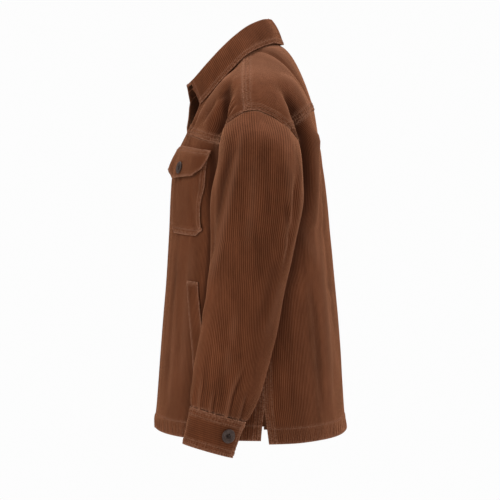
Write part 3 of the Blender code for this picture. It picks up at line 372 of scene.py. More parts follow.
def yoke_form(p, v):
    """The left half of the yoke: p from centre back to the armhole, v from the
    front (neck or shoulder seam) to the back yoke seam."""
    p = np.asarray(p, float)
    v = np.asarray(v, float)
    edge = yoke_edge(v)
    x0 = p * yoke_edge(0 * v)[..., 0]
    on_neck = x0 < NECK_SIDE
    xs = np.clip(x0, NECK_SIDE, None)
    y0 = np.where(on_neck, at(NECK_BACK, "x", "y", x0),
                  SHOULDER_SEAM_Y + 0.0027 * smooth((xs - 0.20) / 0.035))
    z0 = np.where(on_neck, at(NECK_BACK, "x", "z", x0), at(SHOULDER, "x", "z", xs))
    p0 = np.stack([y0, z0], -1)
    p1 = back_yoke_line(p)[..., 1:]
    length = np.linalg.norm(p1 - p0, axis=-1)[..., None]
    side = smooth((x0 - 0.03) / 0.07)[..., None]
    t0 = np.array([0.95, -0.31]) * (1 - side) + np.array([0.97, 0.22]) * side
    t1 = np.array([0.28, -0.96])
    gain = 0.70 + 0.46 * side
    yz = hermite(p0, t0 * length * gain, p1, t1 * length * gain, v)
    pts = np.concatenate([(p * edge[..., 0])[..., None], yz], -1)
    # the yoke climbs to meet the neck before it falls over the shoulder
    pts[..., 2] += 0.0060 * np.exp(-((x0 - 0.080) / 0.030) ** 2) * 6.75 * v * (1 - v) ** 2
    # the outermost line follows the armhole exactly
    q1 = yoke_edge(0 * v)[..., 1:]
    e1 = back_yoke_line(0 * p + 1)[..., 1:]
    l1 = np.linalg.norm(e1 - q1, axis=-1)[..., None]
    raw = hermite(q1, np.array([0.97, 0.22]) * l1 * 1.16, e1, t1 * l1 * 1.16, v)
    pts[..., 1:] += (edge[..., 1:] - raw) * (p**3)[..., None]
    return pts


# ------------------------------------------------------------------ creases
# Creases, listed in millimetres.  Each is (out, width, spots): how far it
# stands out at its crest (a hollow is below zero), how wide it is, and its line.
# These lie on the garment's side, by distance back from the middle and height.
SIDE_CREASES = [
    (4.6, 3.4, [(-20, -26), (-42, -54), (-60, -79), (-73, -96), (-88, -117), (-96, -129)]),
    (-3.2, 3.0, [(-34, -58), (-52, -82), (-66, -102), (-80, -122)]),
    (3.4, 2.8, [(-48, -72), (-56, -90), (-66, -108), (-76, -123)]),
    (-9.5, 5.2, [(-26, -44), (-36, -67), (-42, -88), (-46, -112), (-48, -132), (-56, -174)]),
    (1.5, 1.7, [(-45, -103), (-27, -79)]),
    (-1.3, 1.5, [(-43, -107), (-25, -82)]),
    (1.5, 1.7, [(-42, -112), (-24, -86)]),
    (-1.3, 1.5, [(-41, -117), (-22, -90)]),
    (1.4, 1.7, [(-41, -122), (-20, -94)]),
    (2.6, 3.0, [(-14, -39), (-27, -51), (-33, -67), (-38, -86), (-41, -108)]),
    (4.6, 6.0, [(44, -36), (67, -49), (83, -70), (98, -98), (104, -118)]),
    (3.4, 5.5, [(49, -56), (59, -84), (66, -109), (73, -142)]),
    (-7.0, 7.5, [(56, -66), (75, -95), (83, -125), (91, -167), (97, -250)]),
    (2.0, 6.0, [(104, -114), (109, -183), (113, -250)]),
    (1.6, 9.0, [(112, -250), (126, -380), (138, -500), (144, -560)]),
]
# These lie on the front and on the back, by distance from the middle and height.
FRONT_CREASES = [
    (-1.6, 10, [(84, -318), (94, -600)]),
    (1.9, 11, [(136, -300), (150, -570)]),
    (1.3, 8, [(46, -265), (52, -600)]),
    (-1.5, 9, [(172, -300), (178, -520)]),
    (1.2, 8, [(58, -160), (72, -290)]),
    (-1.5, 7, [(146, -200), (138, -330)]),
    (1.0, 8, [(92, -170), (88, -260)]),
    (1.5, 10, [(112, -430), (118, -610)]),
    (-1.3, 7, [(196, -420), (190, -560)]),
]
BACK_CREASES = [
    (1.7, 16, [(40, -150), (34, -400), (42, -600)]),
    (-2.2, 14, [(72, -130), (84, -330), (80, -520)]),
    (2.2, 12, [(114, -300), (130, -620)]),
    (-2.0, 10, [(155, -360), (166, -620)]),
    (1.3, 10, [(144, -178), (114, -206), (84, -236)]),
    (-1.3, 10, [(146, -196), (110, -226), (78, -260)]),
    (-1.4, 10, [(40, -402), (90, -392), (130, -380)]),
    (1.2, 9, [(46, -420), (100, -412)]),
    (1.6, 9, [(176, -280), (150, -330), (120, -360)]),
]
# These lie on the sleeve's outer half, by distance back and height.
SLEEVE_CREASES = [
    (3.6, 4.4, [(-11, -128), (-18, -182), (-28, -228), (-38, -283), (-47, -326), (-55, -359), (-62, -383), (-66, -410)]),
    (-3.6, 6.5, [(-24, -140), (-33, -186), (-43, -232), (-52, -286), (-59, -330), (-66, -368)]),
    (1.9, 5.0, [(55, -132), (57, -186), (61, -220), (63, -263), (67, -301), (68, -326)]),
    (-3.0, 4.4, [(57, -250), (60, -285), (62, -318)]),
    (1.7, 4.0, [(53, -276), (56, -314), (55, -338)]),
    (-1.4, 7.0, [(28, -150), (30, -230), (26, -300)]),
    (1.2, 7.0, [(8, -170), (4, -260), (-6, -340)]),
    (-1.6, 8.0, [(44, -340), (24, -420), (6, -470)]),
    (1.3, 7.0, [(52, -372), (36, -430), (20, -480)]),
    (-1.5, 5.0, [(-40, -470), (-22, -500), (-4, -508)]),
    (1.4, 6.0, [(-20, -420), (-30, -480), (-40, -540)]),
]
# The pleats at the cuff: a lit roll and the dark fold beside it.
CUFF_PLEATS = [
    (2.2, 3.2, [(-82, -594), (-79, -560), (-75, -520)]),
    (-2.8, 2.3, [(-77, -594), (-74, -560), (-70.5, -520)]),
    (2.2, 3.2, [(-65, -596), (-61, -572), (-57, -548)]),
    (-2.9, 2.3, [(-60, -597), (-56, -572), (-52, -545)]),
    (2.8, 3.8, [(-40, -603), (-33, -572), (-25, -546), (-5, -506)]),
    (-3.4, 2.5, [(-34.5, -604), (-28, -570), (-20, -548), (1, -506)]),
    (2.0, 3.0, [(-20, -606), (-14, -580), (-6, -556)]),
    (-2.4, 2.2, [(-15.5, -607), (-9, -580), (-1, -554)]),
]
# These lie on the sleeve's inner half, which faces the body.
ARMPIT_CREASES = [
    (2.2, 6.0, [(10, -292), (24, -340), (30, -400)]),
    (-2.4, 6.0, [(-6, -296), (-4, -350), (2, -410)]),
    (1.8, 6.0, [(-28, -290), (-30, -350), (-38, -420)]),
    (-2.0, 6.0, [(38, -300), (40, -360), (32, -430)]),
    (1.6, 8.0, [(-4, -450), (-20, -520), (-40, -575)]),
    (-1.6, 6.0, [(-60, -600), (-56, -560), (-48, -530)]),
    (-1.8, 5.0, [(-80, -600), (-74, -560), (-66, -536)]),
]


def near_line(a, b, spots):
    """Distance from a line of spots in a plane, and the part of the way along it."""
    best = np.full(a.shape, 1e9)
    part = np.zeros(a.shape)
    steps = [math.dist(p, q) for p, q in zip(spots, spots[1:])]
    total, gone = sum(steps), 0.0
    for (p, q), step in zip(zip(spots, spots[1:]), steps):
        da, db = q[0] - p[0], q[1] - p[1]
        t = np.clip(((a - p[0]) * da + (b - p[1]) * db) / (step * step), 0, 1)
        d = np.hypot(a - p[0] - t * da, b - p[1] - t * db)
        part = np.where(d < best, (gone + t * step) / total, part)
        best = np.minimum(best, d)
        gone += step
    return best, part


def creases(a, b, rows, other, ends=0.26, held=False):
    """How far the creases of a table stand out, in metres.  The garment's other
    half has the same creases, a little moved and weaker.  A held crease starts at
    full height, as where cloth is sewn into a band."""
    out = np.zeros(a.shape)
    a, b = a * 1000.0, b * 1000.0
    for i, (height, width, spots) in enumerate(rows):
        if other:
            spots = [(p + 2.5 * math.sin(1.7 * i), q - 3.0 - 3.0 * math.cos(2.3 * i)) for p, q in spots]
            height *= 0.78 + 0.22 * math.sin(3.1 * i)
        d, t = near_line(a, b, spots)
        taper = (1 if held else smooth((t + 0.01) / ends)) * smooth((1.01 - t) / ends)
        out += 0.001 * height * np.exp(-(d / width) ** 2) * taper
    return out


def fine_folds(p, other):
    """The body's smaller creases at a point of its form."""
    x = np.abs(p[..., 0])
    side = smooth((x - 0.052) / 0.040)
    back = smooth(0.5 + (p[..., 1] - 0.012) / 0.030)
    # an armhole edge is shared with the sleeve, so both follow this one sum
    out = creases(p[..., 1], p[..., 2], SIDE_CREASES, other) * side
    out += creases(x, p[..., 2], FRONT_CREASES, other) * (1 - back) * smooth((x - 0.022) / 0.02)
    out += creases(x, p[..., 2], BACK_CREASES, other) * back * smooth((x - 0.004) / 0.03)
    return out * smooth((-p[..., 2] - 0.012) / 0.02) * smooth((p[..., 2] + 0.655) / 0.05)

# ------------------------------------------------------------------ folds
def outward(p):
    """The direction that folds move in: away from the garment's core."""
    core = np.stack([np.clip(p[..., 0], -0.11, 0.11), 0 * p[..., 1],
                     np.minimum(p[..., 2], -0.16)], -1)
    d = p - core
    return d / np.linalg.norm(d, axis=-1)[..., None]


def along(px, pz, x1, z1, x2, z2):
    """Distance from a fold's line, and how far along it a point lies."""
    dx, dz = x2 - x1, z2 - z1
    t = ((px - x1) * dx + (pz - z1) * dz) / (dx * dx + dz * dz)
    tc = np.clip(t, 0, 1)
    return np.hypot(px - x1 - tc * dx, pz - z1 - tc * dz), t


def body_folds(p):
    """How far the body's surface stands out (or in, below zero) at a point."""
    out = np.zeros(p.shape[:-1])
    f = BODY_FOLDS
    for i in range(len(f["back"])):
        dist, _ = along(np.abs(p[..., 0]), p[..., 2], f["x1"][i], f["z1"][i], f["x2"][i], f["z2"][i])
        y = p[..., 1]
        half = smooth(0.5 + (y - 0.012) / 0.030)
        here = half if f["back"][i] else 1 - half
        if f["depth"][i] > 0.01:      # the armhole hollows stop short of the shoulder's top
            clear = smooth((y - 0.036) / 0.034) if f["back"][i] else smooth((-0.016 - y) / 0.026)
            here = here * (1 - (1 - clear) * smooth((p[..., 2] + 0.150) / 0.040))
        out -= f["depth"][i] * np.exp(-(dist / f["width"][i]) ** 2) * here
    return out


def right_forward(p):
    """The right front stands further forward round the neck opening."""
    x = np.abs(p[..., 0])
    return (RIGHT_FORWARD * smooth((p[..., 2] + 0.150) / 0.070)
            * (1 - smooth((x - 0.035) / 0.060)) * smooth((-p[..., 1] - 0.030) / 0.045))


# Seen from the side, the sleeve covers the body from one y to another: z, y, y.  The sleeve's painted shadow on the
# body lies in this band.
SLEEVE_OVER = [(-115, -38, 66), (-136, -52, 79), (-195, -65, 90), (-263, -68, 89), (-306, -68, 80), (-352, -68, 68),
               (-403, -75, 54), (-467, -83, 44), (-535, -95, 29), (-595, -101, 12), (-640, -110, -6)]


def covered(p):
    """Painted shadow on the body where the sleeve hangs over it, fading out behind the sleeve and lower down."""
    t = np.array(SLEEVE_OVER)[::-1] / 1000.0
    y, z = p[..., 1], p[..., 2]
    a, b = np.interp(z, t[:, 0], t[:, 1]), np.interp(z, t[:, 0], t[:, 2])
    return (smooth((y - a + 0.006) / 0.008) * (1 - smooth((y - b + 0.002) / 0.030))
            * smooth((-z - 0.118) / 0.03) * smooth((np.abs(p[..., 0]) - 0.06) / 0.03) * (1 - 0.6 * smooth((-z - 0.40) / 0.15)))


def fold_light_and_shade(p, other):
    """How much a point lies on a crease's ridge (or in its hollow, below zero),
    with the big hollows counted lightly.  It sets the painted highlight on the ridges and the painted shade in the
    hollows."""
    return fine_folds(p, other) + 0.26 * body_folds(p)


def folded(p, right=False, forward=True):
    q = p + outward(p) * (body_folds(p) + fine_folds(p, right))[..., None]
    if right and forward:
        q[..., 1] -= right_forward(p)
    return q


def normals(g, wrap=False):
    """Unit normals of a grid of points, rows by columns."""
    if wrap:
        du = np.roll(g, -1, 1) - np.roll(g, 1, 1)
    else:
        du = np.gradient(g, axis=1)
    dv = np.gradient(g, axis=0)
    n = np.cross(du, dv)
    return n / np.maximum(np.linalg.norm(n, axis=-1), 1e-12)[..., None]

# ------------------------------------------------------------------ cutting cloth
WALE = 0.0032           # eight wales to the inch
RIB = 0.00046           # how deep the furrow between two wales is
CROSS = (0.0, 0.80, 1.0, 0.80)
PIECES = {}


def arcs(g, axis):
    """Distance along a grid's rows or columns from their start."""
    d = np.linalg.norm(np.diff(g, axis=axis), axis=-1)
    s = np.cumsum(d, axis=axis)
    zero = np.zeros_like(np.take(s, [0], axis=axis))
    return np.concatenate([zero, s], axis=axis)


def evenly(line, lo, hi, wrap=False):
    """Stations at a quarter of a wale along line(params), whole wales in all."""
    t = np.linspace(lo, hi, 1200)
    s = arcs(line(t), 0)
    n = 4 * max(1, int(round(s[-1] / WALE)))
    want = np.linspace(0, s[-1], n + 1)
    out = np.interp(want, s, t)
    return out[:-1] if wrap else out


def stations(length, low, high, step):
    """Parts of the way along a length: close together by its ends, then even."""
    a, b = low[-1], length - high[-1]
    n = max(2, int(round((b - a) / step)))
    mid = np.linspace(a, b, n + 1)[1:-1]
    return np.array(list(low) + list(mid) + [length - h for h in high[::-1]]) / length


EDGE = [0.0, 0.0005, 0.0013, 0.0026]
SEWN = [0.0, 0.0005, 0.0014, 0.0028, 0.0040, 0.0050, 0.0060, 0.0078, 0.0095, 0.0108, 0.0118, 0.0128, 0.0145, 0.0175]
HEM = [0.0, 0.0005, 0.0016, 0.0045, 0.0090, 0.0140, 0.0190, 0.0222, 0.0237, 0.0249, 0.0261, 0.0280, 0.0330]


def bell(d, w):
    return np.exp(-(d / w) ** 2)


def mirror_x(g):
    m = g.copy()
    m[..., 0] *= -1
    return m[:, ::-1]


class Cloth:
    """A cut piece: the grid of its face, its outward normals, and how far each
    spot lies from its four edges."""

    def __init__(self, name, grid, inward=1.0, wrap=False, across=1, seed=0, right=False, fold=None):
        if right:
            grid = mirror_x(grid)
            fold = None if fold is None else fold[:, ::-1]
        self.name, self.g, self.wrap, self.across, self.right = name, grid, wrap, across, right
        self.n = normals(grid, wrap) * inward
        self.low = arcs(grid, 0)
        self.high = self.low[-1:] - self.low
        left = arcs(grid, 1)
        self.left, self.rest = left, left[:, -1:] - left
        self.width = float(left[:, -1].max()) + (float(np.linalg.norm(grid[:, 0] - grid[:, -1], axis=-1).max()) if wrap else 0)
        self.length = float(self.low[-1].max())
        self.relief = np.zeros(grid.shape[:2])
        self.press = np.ones(grid.shape[:2])
        self.wear_and_highlight = np.zeros(grid.shape[:2])
        self.rng = np.random.default_rng(100 + seed)
        self.top_lit = 1.0 if "yoke" in name else 0.0       # the yokes' upward-facing top gets painted highlight
        # fold sets the painted shade in crease hollows and the painted highlight on crease ridges
        self.fold = np.zeros(grid.shape[:2]) if fold is None else fold

    def edge(self, which):
        e = {"low": self.low, "high": self.high, "left": self.left, "right": self.rest}
        if self.right and which in ("left", "right"):     # a mirrored piece is named from its twin
            which = "right" if which == "left" else "left"
        return e[which]

    def sewn(self, which, rows=(), proud=0.0, until=0.0, pucker=0.0, turn=0.0007):
        """A sewn or turned edge: rounded off, standing proud as far as until, with
        a dimple along each row of stitches."""
        d = self.edge(which)
        run = self.left if which in ("low", "high") else self.low
        wave = (np.sin(run / 0.0078 * 2 * np.pi + 1.3 * np.sin(run / 0.031)) * 0.6
                + np.sin(run / 0.0051 * 2 * np.pi + 2.0 * np.sin(run / 0.017)) * 0.4)
        r = -turn * np.clip(1 - d / 0.0013, 0, 1) ** 2
        if until:
            r += proud * (1 - smooth((d - until) / 0.0028))
            r += pucker * wave * bell(d - until * 0.5, until * 0.55)
            step = np.diff(run, axis=1 if which in ("low", "high") else 0).mean()
            if pucker and step < 0.0014:
                rungs = np.sin(run / 0.0047 * 2 * np.pi + 1.7 * np.sin(run / 0.019) + 0.9 * np.sin(run / 0.0071))
                band = bell(d - until * 0.5, until * 0.50)
                r += 0.00022 * rungs * band
                # painted highlight on the puckers' crests
                self.wear_and_highlight += 0.42 * np.clip(rungs, 0, 1) * band
        for row in rows:
            r -= 0.00075 * bell(d - row, 0.0011)
            self.press *= 1 - 0.75 * bell(d - row, 0.0010)
            # wear and painted highlight along each row of stitches
            self.wear_and_highlight += 0.40 * bell(d - row, 0.0019) + 0.22 * bell(d - row - 0.0022, 0.0012)
        self.press *= 1 - 0.6 * bell(d, 0.0009)
        # wear and painted highlight along the edge
        self.wear_and_highlight += 1.10 * bell(d, 0.0015) + 0.20 * bell(d, 0.005)
        self.relief += r
        return self

    def tuck(self, which, far=0.0010, dip=0.0009):
        """The edge goes on a little way under the piece it is sewn to."""
        g, n = self.g, self.n
        if self.right and which in ("left", "right"):
            which = "right" if which == "left" else "left"
        a, b = {"low": ((0,), (1,)), "high": ((-1,), (-2,)),
                "left": ((slice(None), 0), (slice(None), 1)),
                "right": ((slice(None), -1), (slice(None), -2))}[which]
        d = g[a] - g[b]
        d = d / np.maximum(np.linalg.norm(d, axis=-1), 1e-9)[..., None]
        far, dip = np.asarray(far) + 0 * d[..., 0], np.asarray(dip) + 0 * d[..., 0]
        g[a] = g[a] + d * far[..., None] - n[a] * dip[..., None]
        g[b] = g[b] - n[b] * dip[..., None] * 0.45
        return self

    def face(self):
        return self.g + self.n * self.relief[..., None]

    def row(self, which, d, start=0.0, stop=0.0):
        """A line on the face at a distance from an edge, and its normals."""
        e = self.edge(which)
        g, n = self.face(), self.n
        if which in ("left", "right"):
            e, g, n = e.T, g.transpose(1, 0, 2), n.transpose(1, 0, 2)
            run = self.low.T
        else:
            run = self.left
        if e[0, 0] > e[-1, 0]:
            e, g, n, run = e[::-1], g[::-1], n[::-1], run[::-1]
        pts, nrm, at_ = [], [], []
        for c in range(0, e.shape[1], 2 if e.shape[1] > 80 else 1):
            if e[-1, c] < d + 0.001:
                continue
            k = int(np.searchsorted(e[:, c], d)) - 1
            k = min(max(k, 0), e.shape[0] - 2)
            t = (d - e[k, c]) / max(e[k + 1, c] - e[k, c], 1e-9)
            pts.append(g[k, c] * (1 - t) + g[k + 1, c] * t)
            nrm.append(n[k, c] * (1 - t) + n[k + 1, c] * t)
            at_.append(run[k, c] * (1 - t) + run[k + 1, c] * t)
        pts, nrm, at_ = np.array(pts), np.array(nrm), np.array(at_)
        if self.right and which in ("low", "high"):
            start, stop = stop, start
        keep = (at_ >= start) & (at_ <= at_.max() - stop)
        return pts[keep], nrm[keep]

    def build(self, thick, rib=RIB):
        g, n = self.g, self.n
        rows, cols = g.shape[:2]
        fine = cols if self.across == 1 else rows
        phase = np.arange(fine) % 4
        prof = np.array(CROSS)[phase]
        cord = self.rng.random(fine // 4 + 2)[np.arange(fine) // 4]
        if self.across == 0:
            prof, cord = prof[:, None] + np.zeros(cols), cord[:, None] + np.zeros(cols)
        else:
            prof, cord = prof[None, :] + np.zeros((rows, 1)), cord[None, :] + np.zeros((rows, 1))
        # each wale is a little uneven along its length
        u = 1 + 0.16 * np.sin(self.low / 0.011 + 9 * cord) * np.sin(self.left / 0.013 + 5 * cord)
        outer = self.face() + n * (rib * (prof - 0.55) * self.press * u)[..., None]
        inner = g - n * thick
        pairs = [(0, 1, 0), (-1, -2, 0)] + ([] if self.wrap else [(0, 1, 1), (-1, -2, 1)])
        for i, j, axis in pairs:
            e, f = (inner[i], inner[j]) if axis == 0 else (inner[:, i], inner[:, j])
            d = f - e
            e += d / np.maximum(np.linalg.norm(d, axis=-1), 1e-9)[..., None] * MITRE
        inner += n * np.clip(self.relief, -0.0006, 0.0003)[..., None] * 0.5
        if self.across == 1:
            pick_r, pick_c = np.arange(rows), np.arange(0, cols, 4)
        else:
            pick_r, pick_c = np.arange(0, rows, 4), np.arange(cols)
        inner = inner[pick_r][:, pick_c]
        ir, ic = inner.shape[:2]
        off = rows * cols

        def o(r, c):
            return r * cols + (c % cols)

        def i_(r, c):
            return off + r * ic + (c % ic)

        quads = []
        span = cols if self.wrap else cols - 1
        r, c = np.meshgrid(np.arange(rows - 1), np.arange(span), indexing="ij")
        quads.append(np.stack([o(r, c), o(r, c + 1), o(r + 1, c + 1), o(r + 1, c)], -1).reshape(-1, 4))
        ispan = ic if self.wrap else ic - 1
        r, c = np.meshgrid(np.arange(ir - 1), np.arange(ispan), indexing="ij")
        quads.append(np.stack([i_(r, c), i_(r + 1, c), i_(r + 1, c + 1), i_(r, c + 1)], -1).reshape(-1, 4))
        faces = np.concatenate(quads).tolist()
        if self.across == 1:
            for c in range(ispan):
                top = [o(0, 4 * c + k) for k in range(5)]
                faces.append([i_(0, c), i_(0, c + 1)] + top[::-1])
                end = [o(rows - 1, 4 * c + k) for k in range(5)]
                faces.append(end + [i_(ir - 1, c + 1), i_(ir - 1, c)])
            if not self.wrap:
                for r in range(rows - 1):
                    faces.append([o(r, 0), o(r + 1, 0), i_(r + 1, 0), i_(r, 0)])
                    faces.append([o(r + 1, cols - 1), o(r, cols - 1), i_(r, ic - 1), i_(r + 1, ic - 1)])
        else:
            for c in range(cols - 1):
                faces.append([o(0, c + 1), o(0, c), i_(0, c), i_(0, c + 1)])
                faces.append([o(rows - 1, c), o(rows - 1, c + 1), i_(ir - 1, c + 1), i_(ir - 1, c)])
            for r in range(ir - 1):
                top = [o(4 * r + k, 0) for k in range(5)]
                faces.append(top + [i_(r + 1, 0), i_(r, 0)])
                end = [o(4 * r + k, cols - 1) for k in range(5)]
                faces.append([i_(r, ic - 1), i_(r + 1, ic - 1)] + end[::-1])
        verts = np.concatenate([outer.reshape(-1, 3), inner.reshape(-1, 3)])
        f = quads[0]
        turn = np.cross(outer.reshape(-1, 3)[f[:, 1]] - outer.reshape(-1, 3)[f[:, 0]],
                        outer.reshape(-1, 3)[f[:, 2]] - outer.reshape(-1, 3)[f[:, 0]])
        if (turn * n.reshape(-1, 3)[f[:, 0]]).sum() < 0:
            faces = [q[::-1] for q in faces]
        me = bpy.data.meshes.new(self.name)
        me.from_pydata(verts.tolist(), [], faces)
        k = inner.reshape(-1, 3).shape[0]

        def mark(label, out_values, in_value):
            at_ = me.attributes.new(label, "FLOAT", "POINT")
            at_.data.foreach_set("value", np.concatenate([out_values.reshape(-1), np.full(k, in_value)]).astype("f4"))

        # crest carries painted shade in the furrows and painted highlight on the crests, less where stitches press the
        # pile
        crest = 1 - (1 - prof) * (0.35 + 0.65 * self.press)
        crest = 0.62 + (crest - 0.62) * min(1.0, rib / RIB)
        mark("crest", crest, 0.55)
        mark("cord", cord, 0.5)
        # wear and painted highlight along edges, stitch rows and pucker crests
        mark("wear_and_highlight", np.clip(self.wear_and_highlight, 0, 1.4), 0.0)
        mark("lining", np.zeros((rows, cols)), 1.0)
        # painted highlight on the yokes' upward-facing top, as if lit from above
        mark("top_highlight", self.top_lit * smooth((self.g[..., 2] + 0.060) / 0.034) * smooth((n[..., 2] - 0.30) / 0.40), 0.0)
        body = self.name.split("_")[0] in ("front", "back", "yoke")
        # painted shadow of the sleeve on the body
        mark("covered", covered(self.g) if body else np.zeros((rows, cols)), 0.0)
        # painted shade in crease hollows, painted highlight on crease ridges
        mark("crease_shade", np.clip(-self.fold / 0.0055, 0, 1), 0.0)
        mark("ridge_highlight", np.clip(self.fold / 0.0045, 0, 1), 0.0)
        me.materials.append(CORDUROY)
        me.shade_smooth()
        ob = bpy.data.objects.new(self.name, me)
        bpy.context.scene.collection.objects.link(ob)
        self.object = ob
        PIECES[self.name] = self
        return self


def both_halves(make):
    """A grid over the whole width from the grids of its two halves."""
    left, right = make(False), make(True)
    return np.concatenate([mirror_x(right)[:, :-1], left], 1)


# ------------------------------------------------------------------ stitches
THREAD = []


def stitch_row(line, pitch=0.0038, long=0.0028, r=0.00040, lift=0.00035):
    """A row of lockstitches along a line: each a short rounded thread that dips at
    both its ends."""
    pts, nrm = line
    if len(pts) < 2:
        return
    s = arcs(pts, 0)
    n = int((s[-1] - long) / pitch)
    if n < 1:
        return
    mid = (s[-1] - n * pitch) / 2 + pitch * (np.arange(n) + 0.5)
    part = np.array([-0.5, -0.30, 0.0, 0.30, 0.5])
    sink = np.array([-0.00045, 0.0, 0.00016, 0.0, -0.00045])
    fat = np.array([0.50, 0.95, 1.0, 0.95, 0.50]) * r
    pos = mid[:, None] + part[None, :] * long
    p = np.stack([np.interp(pos, s, pts[:, i]) for i in range(3)], -1)
    nn = np.stack([np.interp(pos, s, nrm[:, i]) for i in range(3)], -1)
    nn /= np.linalg.norm(nn, axis=-1)[..., None]
    t = p[:, -1] - p[:, 0]
    t /= np.linalg.norm(t, axis=-1)[:, None]
    b = np.cross(nn, t[:, None, :])
    b /= np.linalg.norm(b, axis=-1)[..., None]
    c = p + nn * (lift + sink)[None, :, None]
    w = np.radians([0, 72, 144, 216, 288])
    ring = (c[:, :, None, :] + (b[:, :, None, :] * np.cos(w)[None, None, :, None]
                                + nn[:, :, None, :] * np.sin(w)[None, None, :, None]) * fat[None, :, None, None])
    THREAD.append(ring.reshape(n, 25, 3))


STITCH_FACES = ([[k * 5 + i, k * 5 + (i + 1) % 5, (k + 1) * 5 + (i + 1) % 5, (k + 1) * 5 + i]
                 for k in range(4) for i in range(5)] + [[4, 3, 2, 1, 0], [20, 21, 22, 23, 24]])


def sew(name, thread=None):
    """Joins the rows made so far into one piece."""
    v = np.concatenate(THREAD)
    THREAD.clear()
    base = (np.arange(len(v)) * 25).tolist()
    faces = [[b + i for i in f] for b in base for f in STITCH_FACES]
    me = bpy.data.meshes.new(name)
    me.from_pydata(v.reshape(-1, 3).tolist(), [], faces)
    me.materials.append(thread or TOPSTITCH)
    me.shade_smooth()
    ob = bpy.data.objects.new(name, me)
    bpy.context.scene.collection.objects.link(ob)
    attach(ob, "root")
    return ob

# ------------------------------------------------------------------ materials
def nodes_of(name):
    m = bpy.data.materials.new(name)
    m.use_nodes = True
    t = m.node_tree
    t.nodes.clear()
    out = t.nodes.new("ShaderNodeOutputMaterial")
    b = t.nodes.new("ShaderNodeBsdfPrincipled")
    t.links.new(b.outputs[0], out.inputs[0])
    return m, t, b


def noise(t, coords, scale, detail=3.0, rough=0.55):
    n = t.nodes.new("ShaderNodeTexNoise")
    n.inputs["Scale"].default_value = scale
    n.inputs["Detail"].default_value = detail
    n.inputs["Roughness"].default_value = rough
    t.links.new(coords, n.inputs["Vector"])
    return n.outputs["Fac"]


def stretch(t, coords, sx, sy, sz):
    m = t.nodes.new("ShaderNodeMapping")
    m.inputs["Scale"].default_value = (sx, sy, sz)
    t.links.new(coords, m.inputs["Vector"])
    return m.outputs[0]


def attribute(t, name):
    a = t.nodes.new("ShaderNodeAttribute")
    a.attribute_name = name
    return a.outputs["Fac"]


def span(t, value, a, b, c, d):
    m = t.nodes.new("ShaderNodeMapRange")
    for i, x in zip((1, 2, 3, 4), (a, b, c, d)):
        m.inputs[i].default_value = x
    t.links.new(value, m.inputs[0])
    return m.outputs[0]


def sums(t, kind, a, b):
    m = t.nodes.new("ShaderNodeMath")
    m.operation = kind
    for i, x in enumerate((a, b)):
        if isinstance(x, (int, float)):
            m.inputs[i].default_value = x
        else:
            t.links.new(x, m.inputs[i])
    return m.outputs[0]


def ramp(t, value, stops):
    r = t.nodes.new("ShaderNodeValToRGB")
    e = r.color_ramp.elements
    while len(e) < len(stops):
        e.new(0.5)
    for spot, (pos, colour) in zip(e, stops):
        spot.position = pos
        spot.color = (*colour, 1)
    t.links.new(value, r.inputs[0])
    return r.outputs[0]


def blend(t, kind, factor, a, b):
    m = t.nodes.new("ShaderNodeMix")
    m.data_type = "RGBA"
    m.blend_type = kind
    for socket, x in ((m.inputs[0], factor), (m.inputs[6], a), (m.inputs[7], b)):
        if isinstance(x, (int, float)):
            socket.default_value = x
        elif isinstance(x, tuple):
            socket.default_value = (*x, 1)
        else:
            t.links.new(x, socket)
    return m.outputs[2]


def bump(t, height, strength, distance, before=None):
    b = t.nodes.new("ShaderNodeBump")
    b.inputs["Strength"].default_value = strength
    b.inputs["Distance"].default_value = distance
    t.links.new(height, b.inputs["Height"])
    if before is not None:
        t.links.new(before, b.inputs["Normal"])
    return b.outputs[0]


